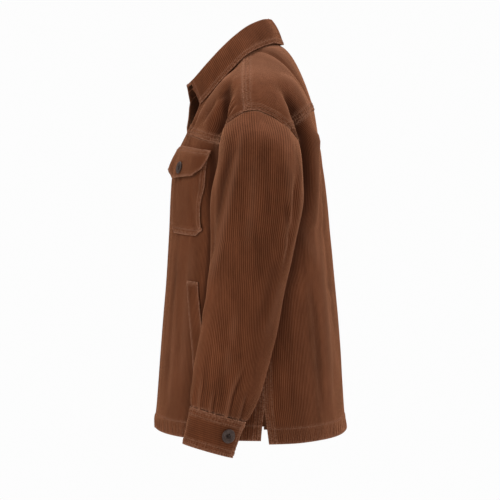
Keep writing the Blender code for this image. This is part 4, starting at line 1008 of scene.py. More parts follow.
def corduroy():
    m, t, b = nodes_of("corduroy")
    xyz = t.nodes.new("ShaderNodeTexCoord").outputs["Object"]
    crest, cord = attribute(t, "crest"), attribute(t, "cord")
    wear_and_highlight, lining = attribute(t, "wear_and_highlight"), attribute(t, "lining")
    nap = noise(t, stretch(t, xyz, 1.0, 1.0, 0.30), 38.0, 4.0, 0.6)      # patches of brushed pile
    streak = noise(t, stretch(t, xyz, 1.0, 1.0, 0.06), 420.0, 2.0)       # pile combed along the wales
    fibre = noise(t, xyz, 2600.0, 2.0, 0.7)
    broad = noise(t, xyz, 7.0, 2.0, 0.5)
    # painted shade in the furrows, painted highlight on the crests
    high = sums(t, "ADD", crest, sums(t, "MULTIPLY", sums(t, "SUBTRACT", fibre, 0.5), 0.55))
    cloth = ramp(t, high, [(0.0, (0.050, 0.0140, 0.0052)), (0.45, (0.098, 0.0290, 0.0112)),
                           (0.85, (0.152, 0.0480, 0.0200)), (1.0, (0.182, 0.0620, 0.0275))])
    tone = sums(t, "ADD", span(t, nap, 0.30, 0.70, 0.80, 1.20), span(t, streak, 0.3, 0.7, -0.08, 0.08))
    tone = sums(t, "ADD", tone, span(t, cord, 0, 1, -0.045, 0.045))
    tone = sums(t, "MULTIPLY", tone, span(t, broad, 0.35, 0.65, 0.90, 1.10))
    grey = t.nodes.new("ShaderNodeCombineColor")
    for i in range(3):
        t.links.new(tone, grey.inputs[i])
    cloth = blend(t, "MULTIPLY", 1.0, cloth, grey.outputs[0])
    # painted shade down in a crease, painted highlight on a ridge
    cloth = blend(t, "MIX", span(t, attribute(t, "crease_shade"), 0.0, 1.0, 0.0, 0.74), cloth, (0.026, 0.0070, 0.0030))
    cloth = blend(t, "MIX", span(t, attribute(t, "ridge_highlight"), 0.0, 1.0, 0.0, 0.56), cloth, (0.250, 0.104, 0.056))
    # painted shadow of the sleeve on the body beside it
    cloth = blend(t, "MIX", span(t, attribute(t, "covered"), 0.0, 1.0, 0.0, 0.66), cloth, (0.040, 0.0112, 0.0046))
    # painted highlight on the yokes' upward-facing top
    cloth = blend(t, "MIX", span(t, attribute(t, "top_highlight"), 0.0, 1.0, 0.0, 0.42), cloth, (0.270, 0.118, 0.066))
    # the pile is rubbed off along edges and stitched ridges, with painted highlight on the edges, the stitch rows and
    # the puckers' crests
    dots = noise(t, xyz, 360.0, 2.0)
    rub_and_highlight = sums(t, "MULTIPLY", wear_and_highlight, span(t, dots, 0.40, 0.60, 0.15, 1.10))
    cloth = blend(t, "MIX", sums(t, "MULTIPLY", rub_and_highlight, 0.68), cloth, (0.360, 0.172, 0.104))
    back = ramp(t, noise(t, xyz, 900.0, 2.0), [(0.3, (0.098, 0.034, 0.0150)), (0.7, (0.142, 0.051, 0.0235))])
    colour = blend(t, "MIX", lining, cloth, back)
    t.links.new(colour, b.inputs["Base Color"])
    t.links.new(span(t, nap, 0.3, 0.7, 0.98, 0.84), b.inputs["Roughness"])
    b.inputs["Specular IOR Level"].default_value = 0.06
    b.inputs["Sheen Weight"].default_value = 0.46
    b.inputs["Sheen Roughness"].default_value = 0.34
    b.inputs["Sheen Tint"].default_value = (1.0, 0.46, 0.24, 1)
    n = bump(t, fibre, 0.55, 0.0004)
    n = bump(t, sums(t, "MULTIPLY", dots, wear_and_highlight), 0.60, 0.0016, n)
    n = bump(t, noise(t, stretch(t, xyz, 1.0, 1.0, 3.0), 520.0, 2.0), 0.35, 0.0006, n)
    t.links.new(n, b.inputs["Normal"])
    return m


def topstitch():
    m, t, b = nodes_of("topstitch")
    xyz = t.nodes.new("ShaderNodeTexCoord").outputs["Object"]
    twist = noise(t, xyz, 2400.0, 1.0)
    t.links.new(ramp(t, twist, [(0.35, (0.150, 0.060, 0.031)), (0.65, (0.290, 0.128, 0.070))]), b.inputs["Base Color"])
    t.links.new(span(t, twist, 0.3, 0.7, 0.62, 0.80), b.inputs["Roughness"])
    t.links.new(bump(t, twist, 0.6, 0.0003), b.inputs["Normal"])
    b.inputs["Specular IOR Level"].default_value = 0.12
    b.inputs["Sheen Weight"].default_value = 0.25
    b.inputs["Sheen Tint"].default_value = (1.0, 0.50, 0.30, 1)
    return m


def horn():
    m, t, b = nodes_of("button")
    xyz = t.nodes.new("ShaderNodeTexCoord").outputs["Object"]
    cloud = noise(t, xyz, 190.0, 3.0, 0.6)
    fleck = noise(t, stretch(t, xyz, 1.0, 1.0, 2.6), 1500.0, 2.0, 0.6)
    colour = ramp(t, cloud, [(0.30, (0.040, 0.021, 0.016)), (0.55, (0.062, 0.037, 0.029)), (0.75, (0.086, 0.055, 0.044))])
    colour = blend(t, "MIX", span(t, fleck, 0.56, 0.70, 0.0, 0.5), colour, (0.108, 0.077, 0.066))
    t.links.new(colour, b.inputs["Base Color"])
    t.links.new(span(t, fleck, 0.3, 0.7, 0.34, 0.50), b.inputs["Roughness"])
    t.links.new(bump(t, fleck, 0.15, 0.0002), b.inputs["Normal"])
    b.inputs["Specular IOR Level"].default_value = 0.30
    return m


def button_thread():
    m, t, b = nodes_of("button_thread")
    xyz = t.nodes.new("ShaderNodeTexCoord").outputs["Object"]
    twist = noise(t, xyz, 2600.0, 1.0)
    t.links.new(ramp(t, twist, [(0.35, (0.046, 0.026, 0.020)), (0.65, (0.088, 0.055, 0.044))]), b.inputs["Base Color"])
    t.links.new(span(t, twist, 0.3, 0.7, 0.60, 0.80), b.inputs["Roughness"])
    b.inputs["Specular IOR Level"].default_value = 0.15
    return m


CORDUROY, TOPSTITCH, HORN, BUTTON_THREAD = corduroy(), topstitch(), horn(), button_thread()

# ------------------------------------------------------------------ fronts and back
def front_start(z):
    zs = np.linspace(OPEN_LOW, OPEN_TOP, 40)
    s = placket_seam(zs)
    x = np.where(z < OPEN_LOW, PLACKET_HALF, np.interp(z, s[:, 2], s[:, 0]))
    ex, _ = side_edge(z, "front")
    return np.degrees(np.arcsin(np.clip((x + SEAM / 2) / ex, 0, 1)))


def front_grid(parts, cols, trim=0.0, vent=1.0):
    v = np.array(parts)[:, None]
    q = np.array(cols)[None, :]
    start = 5.0
    for _ in range(3):
        a = start + (90 - start) * q
        z = at(FRONT_LINES, "angle", "hem", a) * (1 - v) + (at(FRONT_LINES, "angle", "yoke", a) - trim) * v
        start = front_start(z)
    return front_form(a + 0 * v, z, vent)


def underlap(g):
    """The right front dips under the left one beside centre front."""
    x = np.abs(g[..., 0])
    dip = UNDERLAP * (1 - smooth((x - 0.0205) / 0.022)) * (1 - smooth((g[..., 2] + 0.138) / 0.014))
    q = g.copy()
    q[..., 1] += dip
    return q


qs = evenly(lambda t: front_grid([0.45], t)[0], 0, 1)
vs = stations(0.4850, HEM, EDGE + [0.006], 0.0085)
for name, right in (("front_left", False), ("front_right", True)):
    flat = front_grid(vs, qs, SEAM / 2, 0.0 if right else 1.0)
    g = folded(flat, right)
    c = Cloth(name, underlap(g) if right else g, seed=1 + right, right=right, fold=fold_light_and_shade(flat, right))
    c.sewn("low", rows=(0.0249,), proud=0.0009, until=0.0238, pucker=0.00028)
    c.sewn("high", turn=0.0010).sewn("left", turn=0.0010)
    c.sewn("right", rows=(0.0052, 0.0118), proud=0.0005, until=0.0125)
    c.tuck("high", 0.0012).tuck("left", 0.0012)
    below = smooth((VENT_TOP + 0.004 - c.g[:, 0, 2]) / 0.010)
    c.tuck("right", 0.0011 + (0.0024 if right else -0.0011) * below, 0.0009 + (0.0012 if right else -0.0009) * below)
    c.build(CLOTH)

angs = evenly(lambda t: back_form(t, at(BACK_LINES, "angle", "hem", t) * 0.5 - 0.5 * 0.12), 0, 90)
vs = stations(0.5143, HEM, EDGE + [0.006], 0.0085)[:, None]


def back_half(right):
    a = angs[None, :]
    z = at(BACK_LINES, "angle", "hem", a) * (1 - vs) + (at(BACK_LINES, "angle", "yoke", a) - SEAM / 2) * vs
    return back_form(a + 0 * vs, z, 0.0 if right else 1.0)


def both_folds(make):
    """The creases over the whole width from those of its two halves."""
    return np.concatenate([fold_light_and_shade(make(True), True)[:, ::-1][:, :-1], fold_light_and_shade(make(False), False)], 1)


c = Cloth("back", both_halves(lambda right: folded(back_half(right), right)), inward=-1.0, seed=3,
          fold=both_folds(back_half))
c.sewn("low", rows=(0.0249,), proud=0.0009, until=0.0238, pucker=0.00028)
c.sewn("high", turn=0.0010)
c.sewn("left", rows=(0.0052, 0.0118), proud=0.0005, until=0.0125)
c.sewn("right", rows=(0.0052, 0.0118), proud=0.0005, until=0.0125)
c.tuck("high", 0.0032, 0.0010)
c.build(CLOTH)

# ------------------------------------------------------------------ yokes
xs = evenly(lambda t: front_yoke_form(t, 0.4 + 0 * t), 0.0388, 0.2338)[None, :]
for name, right in (("front_yoke_left", False), ("front_yoke_right", True)):
    v = stations(0.108, SEWN, EDGE, 0.0034)[:, None]
    g = front_yoke_form(xs + 0 * v, v + 0 * xs)
    length = np.linalg.norm(g[-1] - g[0], axis=-1)[None, :]
    pad = np.minimum(SEAM / 2 / np.maximum(length, 1e-6), 0.2)
    # the lowest rows keep their real distances from the seam wherever the piece is short
    whole = np.maximum(length, 0.024)
    v = np.where(v * 0.108 < 0.0176, np.minimum(v * 0.108 / whole, v), v)
    low_end = 0.0175 / whole
    v = np.where(v * 0.108 < 0.0176, v, low_end + (v - 0.0175 / 0.108) / (1 - 0.0175 / 0.108) * (1 - low_end))
    g = front_yoke_form(xs + 0 * v, pad + v * (1 - 2 * pad))
    g[:, :, 0] += 0.0007 * (1 - smooth((g[:, :, 0] - 0.060) / 0.020))
    c = Cloth(name, folded(g, right), seed=4 + right, right=right, fold=fold_light_and_shade(g, right))
    c.sewn("low", rows=(0.0050, 0.0118), proud=0.0010, until=0.0128, pucker=0.00030)
    c.sewn("high", turn=0.0010).sewn("left", turn=0.0009)
    c.sewn("right", turn=0.0009)
    c.tuck("high", 0.0065 if right else 0.0040, 0.0012).tuck("left", 0.0030, 0.0012).tuck("right", 0.0012)
    c.build(CLOTH)

ps = evenly(lambda t: yoke_form(t, 0.5 + 0 * t), 0, 1)[None, :]
vs = stations(0.165, SEWN, SEWN, 0.0060)[:, None]


def yoke_half(right):
    return yoke_form(ps + 0 * vs, 0.003 + vs * 0.994)


c = Cloth("yoke", both_halves(lambda right: folded(yoke_half(right), right)), seed=6, fold=both_folds(yoke_half))
on_shoulder = smooth((np.abs(c.g[:1, :, 0]) - 0.084) / 0.004)      # the rest of that edge is the neck
c.sewn("low", rows=(0.0050, 0.0118), proud=0.0010, until=0.0128, pucker=0.00030)
c.relief *= on_shoulder
c.sewn("high", rows=(0.0050, 0.0118), proud=0.0010, until=0.0128, pucker=0.00034)
c.sewn("left", rows=(0.0052, 0.0118), proud=0.0009, until=0.0126)
c.sewn("right", rows=(0.0052, 0.0118), proud=0.0009, until=0.0126)
c.build(CLOTH)

# ------------------------------------------------------------------ plackets
zs = stations(0.56, HEM, EDGE, 0.0085)[:, None]
zs = -0.6325 + (OPEN_TOP + 0.6325) * zs
for name, right in (("placket_left", False), ("placket_right", True)):
    cc = evenly(lambda t: placket_form(t * (1 - 0.5 * SEAM / 0.035), -0.40 + 0 * t, right), 0, 1)
    cs = cc[None, :] * (1 - 0.5 * SEAM / 0.035)
    flat = placket_form(cs + 0 * zs, zs + 0 * cs, right)
    g = folded(flat, right, forward=False)
    if right:
        g[..., 1] -= 0.52 * right_forward(flat) * cs   # its outer edge keeps to the yoke beside it
        g[..., 1] += UNDERLAP * (1 - smooth((g[..., 2] + 0.138) / 0.014))
    else:
        g[..., 1] -= 0.0008
    c = Cloth(name, g, seed=7 + right, right=right)
    c.sewn("left", rows=(0.0060,), proud=0.0004, until=0.0060)
    c.sewn("right", rows=(0.0045,), proud=0.0004, until=0.0045)
    c.sewn("low", rows=(0.0249,), proud=0.0006, until=0.0238, pucker=0.0002)
    c.sewn("high")
    c.tuck("high", 0.0030, 0.0008)
    c.build(DOUBLE)


# ------------------------------------------------------------------ pockets, flaps, welts
def front_at(angle, part, right=False):
    """A point of the folded left front by angle and part of the way up."""
    z = at(FRONT_LINES, "angle", "hem", angle) * (1 - part) + at(FRONT_LINES, "angle", "yoke", angle) * part
    return folded(front_form(angle, z), right)


def on_front(angle, part, lift, right=False):
    """The same point moved out from the front's face."""
    e = 0.6
    p0 = front_at(angle, part, right)
    du = front_at(angle + e, part, right) - front_at(angle - e, part, right)
    dv = front_at(angle, part + 0.006, right) - front_at(angle, part - 0.006, right)
    n = np.cross(du, dv)
    n /= np.linalg.norm(n, axis=-1)[..., None]
    n = np.where(n[..., 1:2] > 0, -n, n)
    return p0 + n * (lift[..., None] if isinstance(lift, np.ndarray) else lift)


POCKET = dict(left=16.0, right=57.0, low_right=49.5, low=0.668, high=0.942)
FLAP = dict(left=15.0, right=60.5)


def cut(u, left, right, depth):
    """A straight cut across each lower corner."""
    return depth * (np.clip(1 - u / left, 0, 1) + np.clip(1 - (1 - u) / right, 0, 1))


def flap_low(u):
    return 0.8450 + 0.0405 * u + cut(u, 0.19, 0.17, 0.032 - 0.012 * smooth((u - 0.3) / 0.4))


def flap_top(u):
    return 0.9585 + 0.0135 * u


def flap_lift(u, v):
    """The flap lies on the pocket, and its front lower corner kicks out."""
    return (DOUBLE + ON_PANEL + 0.0013 * u**3 + (CLOTH + ON_PANEL + 0.0006) * smooth((1 - v) / 0.22)
            + FLAP_FLARE * (1 - v) ** 1.2 * (0.30 + 0.90 * (1 - u) ** 1.5))


def pocket_right(v):
    return POCKET["right"] - (POCKET["right"] - POCKET["low_right"]) * (1 - v) ** 1.6


def patch(name, left, right_edge, low, high, lift, thick, length, ends, dress, seed):
    """A piece on the front between two outlines given as functions of the part of
    the way across."""
    v = stations(length, *ends, 0.0055)[:, None]

    def grid(u, v, right):
        a = left + (right_edge(v) - left) * u
        lo, hi = low(u), high(u)
        return on_front(a, lo + (hi - lo) * v, lift(u + 0 * v, v + 0 * u) + 0 * a, right)

    us = evenly(lambda t: grid(t[None, :], np.array([[0.5]]), False)[0], 0, 1)
    for side, right in (("left", False), ("right", True)):
        c = Cloth(name.replace("SIDE", side), grid(us[None, :], v, right), seed=seed + right, right=right)
        dress(c)
        c.build(thick)


def dress_pocket(c):
    c.sewn("low", rows=(0.0022, 0.0092), proud=0.0007, until=0.0100, pucker=0.0002)
    c.sewn("left", rows=(0.0022, 0.0092), proud=0.0006, until=0.0100)
    c.sewn("right", rows=(0.0022, 0.0092), proud=0.0006, until=0.0100)
    c.sewn("high")


def dress_flap(c):
    c.sewn("low", rows=(0.0026,), proud=0.0005, until=0.0028, pucker=0.0002)
    c.sewn("left", rows=(0.0026,), proud=0.0004, until=0.0028)
    c.sewn("right", rows=(0.0026,), proud=0.0004, until=0.0028)
    c.sewn("high", rows=(0.0022, 0.0082), proud=0.0006, until=0.0090, pucker=0.0002)


NEAR = [0.0, 0.0005, 0.0014, 0.0022, 0.0031, 0.0048, 0.0070, 0.0083, 0.0092, 0.0102, 0.0120]
patch("chest_pocket_SIDE", POCKET["left"], pocket_right,
      lambda u: POCKET["low"] + 0.006 * u + cut(u, 0.11, 0.15, 0.020),
      lambda u: POCKET["high"] + 0 * u,
      lambda u, v: CLOTH + ON_PANEL + 0.0012 * np.sin(np.pi * u) * v + 0.0007 * u * (1 - v),
      CLOTH, 0.128, (NEAR, EDGE), dress_pocket, 10)
patch("chest_flap_SIDE", FLAP["left"], lambda v: FLAP["right"] - 6.0 * (1 - v) ** 1.3,
      flap_low, flap_top, flap_lift, DOUBLE, 0.052, (NEAR[:5] + [0.006], NEAR[:10]), dress_flap, 12)

WELT = table("part left right", [(0.0, 49.8, 57.6), (0.5, 45.8, 54.0), (1.0, 41.6, 50.0)])
WELT_LOW, WELT_HIGH = 0.222, 0.522
v = stations(0.145, NEAR[:5], NEAR[:5], 0.0060)[:, None]


def welt(u, v, right):
    a = at(WELT, "part", "left", v) * (1 - u) + at(WELT, "part", "right", v) * u
    return on_front(a, WELT_LOW + (WELT_HIGH - WELT_LOW) * v + 0 * u, DOUBLE + ON_PANEL + 0 * a, right)


us = evenly(lambda t: welt(t[None, :], np.array([[0.5]]), False)[0], 0, 1)[None, :]
for side, right in (("left", False), ("right", True)):
    c = Cloth("welt_" + side, welt(us, v, right), seed=14 + right, right=right)
    c.sewn("low", rows=(0.0022,), until=0.0024, proud=0.0003).sewn("high", rows=(0.0022,), until=0.0024, proud=0.0003)
    c.sewn("left", rows=(0.0022,), until=0.0024, proud=0.0004).sewn("right", turn=0.0008)
    c.build(DOUBLE)


# ------------------------------------------------------------------ collar
def collar_line(kind, s, right):
    p = np.stack([at(COLLAR, "part", kind + "_" + k, s) for k in ("x", "y", "z")], -1)
    if right:
        near = p - np.array([0.016 if kind == "edge" else 0.0, 0.0, 0.0])
        p[..., 1] -= right_forward(near) * (0.42 if kind == "fold" else 1.0)
        if kind == "fold":
            p[..., 2] -= 0.0026 * smooth((s - 0.7) / 0.3)
    return p


def neck_dir(s, right):
    d = collar_line("fold", np.minimum(s + 0.02, 1.0), right) - collar_line("fold", np.maximum(s - 0.02, 0.0), right)
    d[:, 0, 1] = 0
    d = np.stack([d[..., 1], -d[..., 0], 0 * d[..., 0]], -1)
    return d / np.linalg.norm(d, axis=-1)[..., None]


FALL = [1.0, 0.82, 0.60, 0.34, 0.12, 0.0, -0.10]


def leaf_rows(s, right):
    """The leaf from its outer edge, up its fall and over the fold."""
    fold, edge = collar_line("fold", s, right), collar_line("edge", s, right)
    up = np.array([0.0, 0.0, 1.0])
    inward = neck_dir(s, right)
    rows = []
    for f in FALL:
        if f < 0:
            p = fold + inward * 0.0050 - up * 0.0022
        else:
            bulge = (0.0022 + 0.0016 * (1 - smooth(s / 0.35))) * math.sin(math.pi * f ** 0.7)
            bulge = (bulge * (1 - smooth((s - 0.8) / 0.2)))[..., None]
            p = fold + (edge - fold) * f - inward * bulge
        rows.append(p[0])
    return np.array(rows)


def through(rows, v):
    """Rows of a smooth surface through a few given rows; v counts given rows."""
    out = []
    k = len(rows)
    for t in v:
        i = int(min(max(math.floor(t), 0), k - 2))
        f = t - i
        a, b = rows[max(i - 1, 0)], rows[i]
        c, d = rows[i + 1], rows[min(i + 2, k - 1)]
        if i == 0:
            a = 2 * b - c
        if i + 2 > k - 1:
            d = 2 * c - b
        h0 = max(np.linalg.norm(b - a, axis=-1).mean(), 1e-9)
        h1 = np.linalg.norm(c - b, axis=-1).mean()
        h2 = max(np.linalg.norm(d - c, axis=-1).mean(), 1e-9)
        m1 = ((b - a) / h0 * h1 + (c - b) / h1 * h0) / (h0 + h1) * h1
        m2 = ((c - b) / h1 * h2 + (d - c) / h2 * h1) / (h1 + h2) * h1
        out.append((2 * f**3 - 3 * f**2 + 1) * b + (f**3 - 2 * f**2 + f) * m1
                   + (-2 * f**3 + 3 * f**2) * c + (f**3 - f**2) * m2)
    return np.array(out)


ss = evenly(lambda t: collar_line("edge", t, False), 0, 1)[None, :]
vv = [0, .03, .09, .18, .29, .40, .52, .70, .92, 1.2, 1.5, 1.8, 2.1, 2.4, 2.7, 3.0, 3.3, 3.55, 3.75, 3.9, 4.05,
      4.25, 4.45, 4.65, 4.82, 5.0, 5.15, 5.3, 5.5, 5.7, 5.85, 6.0]
c = Cloth("collar", both_halves(lambda right: through(leaf_rows(ss, right), vv)), inward=-1.0, seed=16)
c.sewn("low", rows=(0.0078,), proud=0.0005, until=0.0074, pucker=0.00024)
c.sewn("left", rows=(0.0066,), proud=0.0005, until=0.0062)
c.sewn("right", rows=(0.0066,), proud=0.0005, until=0.0062)
c.sewn("high")
c.build(DOUBLE)


def stand_rows(s, right):
    fold, seam = collar_line("fold", s, right), collar_line("seam", s, right)
    up = np.array([0.0, 0.0, 1.0])
    top = fold + neck_dir(s, right) * 0.0028 - up * (0.0052 + 0.0068 * smooth((s - 0.75) / 0.2))[..., None]
    base = seam - up * 0.0012
    return np.array([(base + (top - base) * f)[0] for f in (0.0, 0.5, 1.0)])


ss = evenly(lambda t: collar_line("seam", t, False), 0, 1)[None, :]
c = Cloth("collar_stand", both_halves(lambda right: through(stand_rows(ss, right), np.linspace(0, 2, 12))),
          inward=-1.0, seed=17)
c.sewn("low").sewn("high").sewn("left").sewn("right")
c.wear_and_highlight *= 0.25
c.build(DOUBLE * 0.8)


# ------------------------------------------------------------------ sleeves
def cuff_ring(part, angle, grow=0.0):
    """A point of the left cuff's outline; angle 0 is outermost, 90 is the front."""
    t = math.radians(CUFF_TILT)
    a = np.radians(angle)
    hx = at(CUFF, "part", "half_x", part) + grow
    hy = at(CUFF, "part", "half_y", part) + grow
    y = -hy * np.sin(a)
    return np.stack([at(CUFF, "part", "mid_x", part) + hx * np.cos(a),
                     at(CUFF, "part", "mid_y", part) + y * math.cos(t),
                     at(CUFF, "part", "mid_z", part) - y * math.sin(t)], -1)


def sleeve_ring(z, angle):
    """A section of the sleeve below the upper arm."""
    a = np.radians(angle)
    g = {k: at(SLEEVE, "z", k, z) for k in ("mid_x", "half_x", "mid_y", "half_y", "tilt")}
    y = -g["half_y"] * np.sin(a)
    return np.stack([g["mid_x"] + g["half_x"] * np.cos(a), g["mid_y"] + y,
                     z - y * np.tan(np.radians(g["tilt"]))], -1)


def arm_loop(angle, right):
    """The armhole seam all round: 0 is the top, 90 the front, 180 the underarm."""
    a = np.asarray(angle, float) % 360
    f = armhole(np.minimum(a, 360 - a), "front")
    b = armhole(np.minimum(a, 360 - a), "back")
    return folded(np.where((a <= 180)[..., None], f, b), right)


def sleeve_cap(t, angle, right):
    """From the armhole (t = 0) by the slanted section (0.5) to the upper arm (1)."""
    a = np.radians(np.asarray(angle, float))
    p0 = arm_loop(angle, right)
    ca, sa = np.cos(a), np.sin(a)
    mid = np.stack([CAP_MID[0] + CAP_OUT[0] * ca, CAP_MID[1] - CAP_HALF_Y * sa + 0 * ca,
                    CAP_MID[2] + CAP_OUT[2] * ca], -1)
    end = sleeve_ring(SLEEVE_TOP + 0 * a, angle)
    below = sleeve_ring(SLEEVE_TOP - 0.02 + 0 * a, angle)
    t0 = np.stack([0.80 + 0 * a, -0.42 * sa, -0.18 - 0.50 * ca**2], -1)
    t0 /= np.linalg.norm(t0, axis=-1)[..., None]
    first = np.linalg.norm(mid - p0, axis=-1)[..., None]
    second = np.linalg.norm(end - mid, axis=-1)[..., None]
    tm = (end - p0) / np.linalg.norm(end - p0, axis=-1)[..., None]
    t1 = (below - end) / np.linalg.norm(below - end, axis=-1)[..., None]
    t = np.asarray(t, float)
    one = hermite(p0, t0 * first, mid, tm * first, np.clip(2 * t, 0, 1))
    two = hermite(mid, tm * second, end, t1 * second, np.clip(2 * t - 1, 0, 1))
    return np.where((t < 0.5)[..., None], one, two)


# The sleeve's largest folds, by angle round and height, as soft ridges.
SLEEVE_FOLDS = table("angle1 z1 angle2 z2 out width", [
    (28, -0.135, 52, -0.300, 0.0040, 13),
    (52, -0.300, 84, -0.430, 0.0035, 14),
    (70, -0.180, 76, -0.330, -0.0030, 12),
    (318, -0.135, 310, -0.330, 0.0040, 9),
    (304, -0.240, 304, -0.330, -0.0045, 7),
    (296, -0.150, 288, -0.300, 0.0020, 10),
])
PLEATS = table("angle out width", [(62, 0.0030, 6), (34, 0.0035, 6), (8, 0.0032, 6), (-20, 0.0030, 6),
                                   (140, 0.0025, 8), (190, 0.0025, 8)])
FELL = table("z angle", [(-0.640, 272), (-0.575, 268), (-0.520, 250), (-0.430, 222), (-0.330, 196), (-0.240, 182)])


def sleeve_out(angle, z):
    """How far the sleeve's folds stand out."""
    out = 0.0 * z
    f = SLEEVE_FOLDS
    for i in range(len(f["out"])):
        t = np.clip((z - f["z1"][i]) / (f["z2"][i] - f["z1"][i]), 0, 1)
        mid = f["angle1"][i] + (f["angle2"][i] - f["angle1"][i]) * t
        d = (angle - mid + 180) % 360 - 180
        over = np.maximum(z - f["z1"][i], f["z2"][i] - z)
        fade = 1 - smooth(over / 0.035)
        out = out + f["out"][i] * np.exp(-(d / f["width"][i]) ** 2) * fade
    f = PLEATS
    for i in range(len(f["out"])):
        d = (angle - f["angle"][i] + 180) % 360 - 180
        out = out + f["out"][i] * np.exp(-(d / f["width"][i]) ** 2) * smooth((-0.535 - z) / 0.045)
    return out


def lean(a, z):
    """The wales hang upright on the arm's outer side, so they drift towards its
    back edge as the arm bends forward."""
    t = np.interp(-z, [0.30, 0.40, 0.50, 0.60], [0.0, 8.0, 25.0, 40.0])
    return a - t * (0.5 + 0.5 * np.cos(np.radians(a)))


def sleeve_base(angles, caps, lows, right):
    a = angles[None, :]
    rows = [sleeve_cap(np.full(a.shape, t), a, right)[0] for t in caps]
    rows += [sleeve_ring(np.full(a.shape, z), lean(a, z))[0] for z in lows]
    g = np.array(rows)
    a = np.concatenate([np.repeat(a, len(caps), 0)] + [lean(a, z) for z in lows])
    n = normals(g, wrap=True)
    centre = g.mean(axis=1, keepdims=True)
    n = np.where(((g - centre) * n).sum(-1, keepdims=True) < 0, -n, n)
    z = g[..., 2]
    out = sleeve_out(a + 0 * z, z)
    turn = np.cos(np.radians(a + 0 * z))
    fine = creases(g[..., 1], z, SLEEVE_CREASES, right) * smooth(0.5 + turn * 2.2)
    fine += creases(g[..., 1], z, CUFF_PLEATS, right, 0.60, True) * smooth(0.5 + turn * 2.2)
    fine += creases(g[..., 1], z, ARMPIT_CREASES, right) * smooth(0.5 - turn * 2.2)
    s = arcs(g, 0)
    held = smooth((s - 0.001) / 0.012)
    return g + n * ((out + fine) * held)[..., None], fine * held, a


angs = evenly(lambda t: sleeve_ring(-0.34 + 0 * t, t), 0, 360, wrap=True)
caps = [0.0, 0.003, 0.010, 0.022] + list(np.linspace(0.045, 1.0, 26))
lows = list(np.linspace(-0.3225, -0.5875, 34)) + [-0.5912, -0.5932, -0.5945]
for name, right in (("sleeve_left", False), ("sleeve_right", True)):
    g, fine, a_here = sleeve_base(angs, caps, lows, right)
    d = g[1:4].mean(0) - g[0]
    g[0] += d / np.linalg.norm(d, axis=-1)[..., None] * (SEAM + 0.0002)
    g[1] += d / np.linalg.norm(d, axis=-1)[..., None] * (SEAM + 0.0002) * 0.8
    g[2] += d / np.linalg.norm(d, axis=-1)[..., None] * (SEAM + 0.0002) * 0.5
    c = Cloth(name, g, wrap=True, seed=20 + right, right=right, fold=fine)
    c.sewn("low", turn=0.0010)
    c.sewn("high", turn=0.0006)
    c.tuck("low", 0.0045, 0.0014).tuck("high", 0.0045, 0.0022)
    # the felled seam up the back of the arm, and its two rows of stitches
    z = c.g[..., 2]
    a_here = a_here[:, ::-1] if right else a_here
    off = (a_here - at(FELL, "z", "angle", z) + 180) % 360 - 180
    reach = np.radians(off) * 0.5 * (c.width / (2 * np.pi)) * 2
    c.fell = reach
    c.relief += 0.0009 * (1 - smooth((np.abs(reach) - 0.0050) / 0.0016)) * smooth((-0.24 - z) / 0.03)
    for row in (-0.0034, 0.0034):
        c.relief -= 0.0006 * bell(reach - row, 0.0010) * smooth((-0.24 - z) / 0.03)
        # wear and painted highlight along the felled seam's stitch rows
        c.wear_and_highlight += 0.35 * bell(reach - row, 0.0016)
        c.press *= 1 - 0.7 * bell(reach - row, 0.0010)
    c.build(CLOTH)

# ------------------------------------------------------------------ cuffs
around = np.linspace(CUFF_START, CUFF_END, 198)
fine = evenly(lambda t: cuff_ring(t, 0 * t), 0, 1)
for name, right in (("cuff_left", False), ("cuff_right", True)):
    ca, v = around[None, :], fine[:, None]
    tuck = -CUFF_TUCK * smooth((ca - (CUFF_END - 52)) / 26)
    bow = 0.0006 * np.sin(np.pi * v) * np.sin(np.radians(ca * 2.0 + 20 * right))
    g = cuff_ring(v + 0 * ca, ca + 0 * v, tuck + bow)
    c = Cloth(name, g, across=0, seed=24 + right, right=right)
    c.sewn("low", rows=(0.0030, 0.0110), proud=0.0009, until=0.0120, pucker=0.00020)
    c.sewn("high", rows=(0.0030, 0.0110), proud=0.0005, until=0.0120, pucker=0.00020)
    c.sewn("left", rows=(0.0030, 0.0110), proud=0.0005, until=0.0120, pucker=0.00020)
    c.sewn("right")
    c.build(DOUBLE, RIB * 0.55)

# ------------------------------------------------------------------ rows of stitches
for side in ("left", "right"):
    f = PIECES["front_" + side]
    stitch_row(f.row("low", 0.0249, 0.0, 0.004))
    for d in (0.0052, 0.0118):
        stitch_row(f.row("right", d, 0.350 if d < 0.006 else 0.352, 0.004))
    stitch_row(f.row("right", 0.0030, 0.002, 0.430))
b = PIECES["back"]
stitch_row(b.row("low", 0.0249, 0.004, 0.004))
for edge in ("left", "right"):
    for d in (0.0052, 0.0118):
        stitch_row(b.row(edge, d, 0.355, 0.004))
    stitch_row(b.row(edge, 0.0030, 0.002, 0.455))
sew("stitches_body")

y = PIECES["yoke"]
for d in (0.0050, 0.0118):
    stitch_row(y.row("high", d, 0.004, 0.004))
    for edge in ("left", "right"):
        stitch_row(y.row(edge, d + 0.0002, 0.004, 0.004))
    pts, nrm = y.row("low", d)
    for keep in (pts[:, 0] > 0.083, pts[:, 0] < -0.083):
        stitch_row((pts[keep], nrm[keep]))
for side in ("left", "right"):
    f = PIECES["front_yoke_" + side]
    for d in (0.0050, 0.0118):
        stitch_row(f.row("low", d, 0.004, 0.003))
sew("stitches_yokes")

for side in ("left", "right"):
    p = PIECES["placket_" + side]
    stitch_row(p.row("left", 0.0060, 0.003, 0.004))
    stitch_row(p.row("right", 0.0045, 0.003, 0.004))
    stitch_row(p.row("low", 0.0249, 0.002, 0.002))
sew("stitches_plackets")

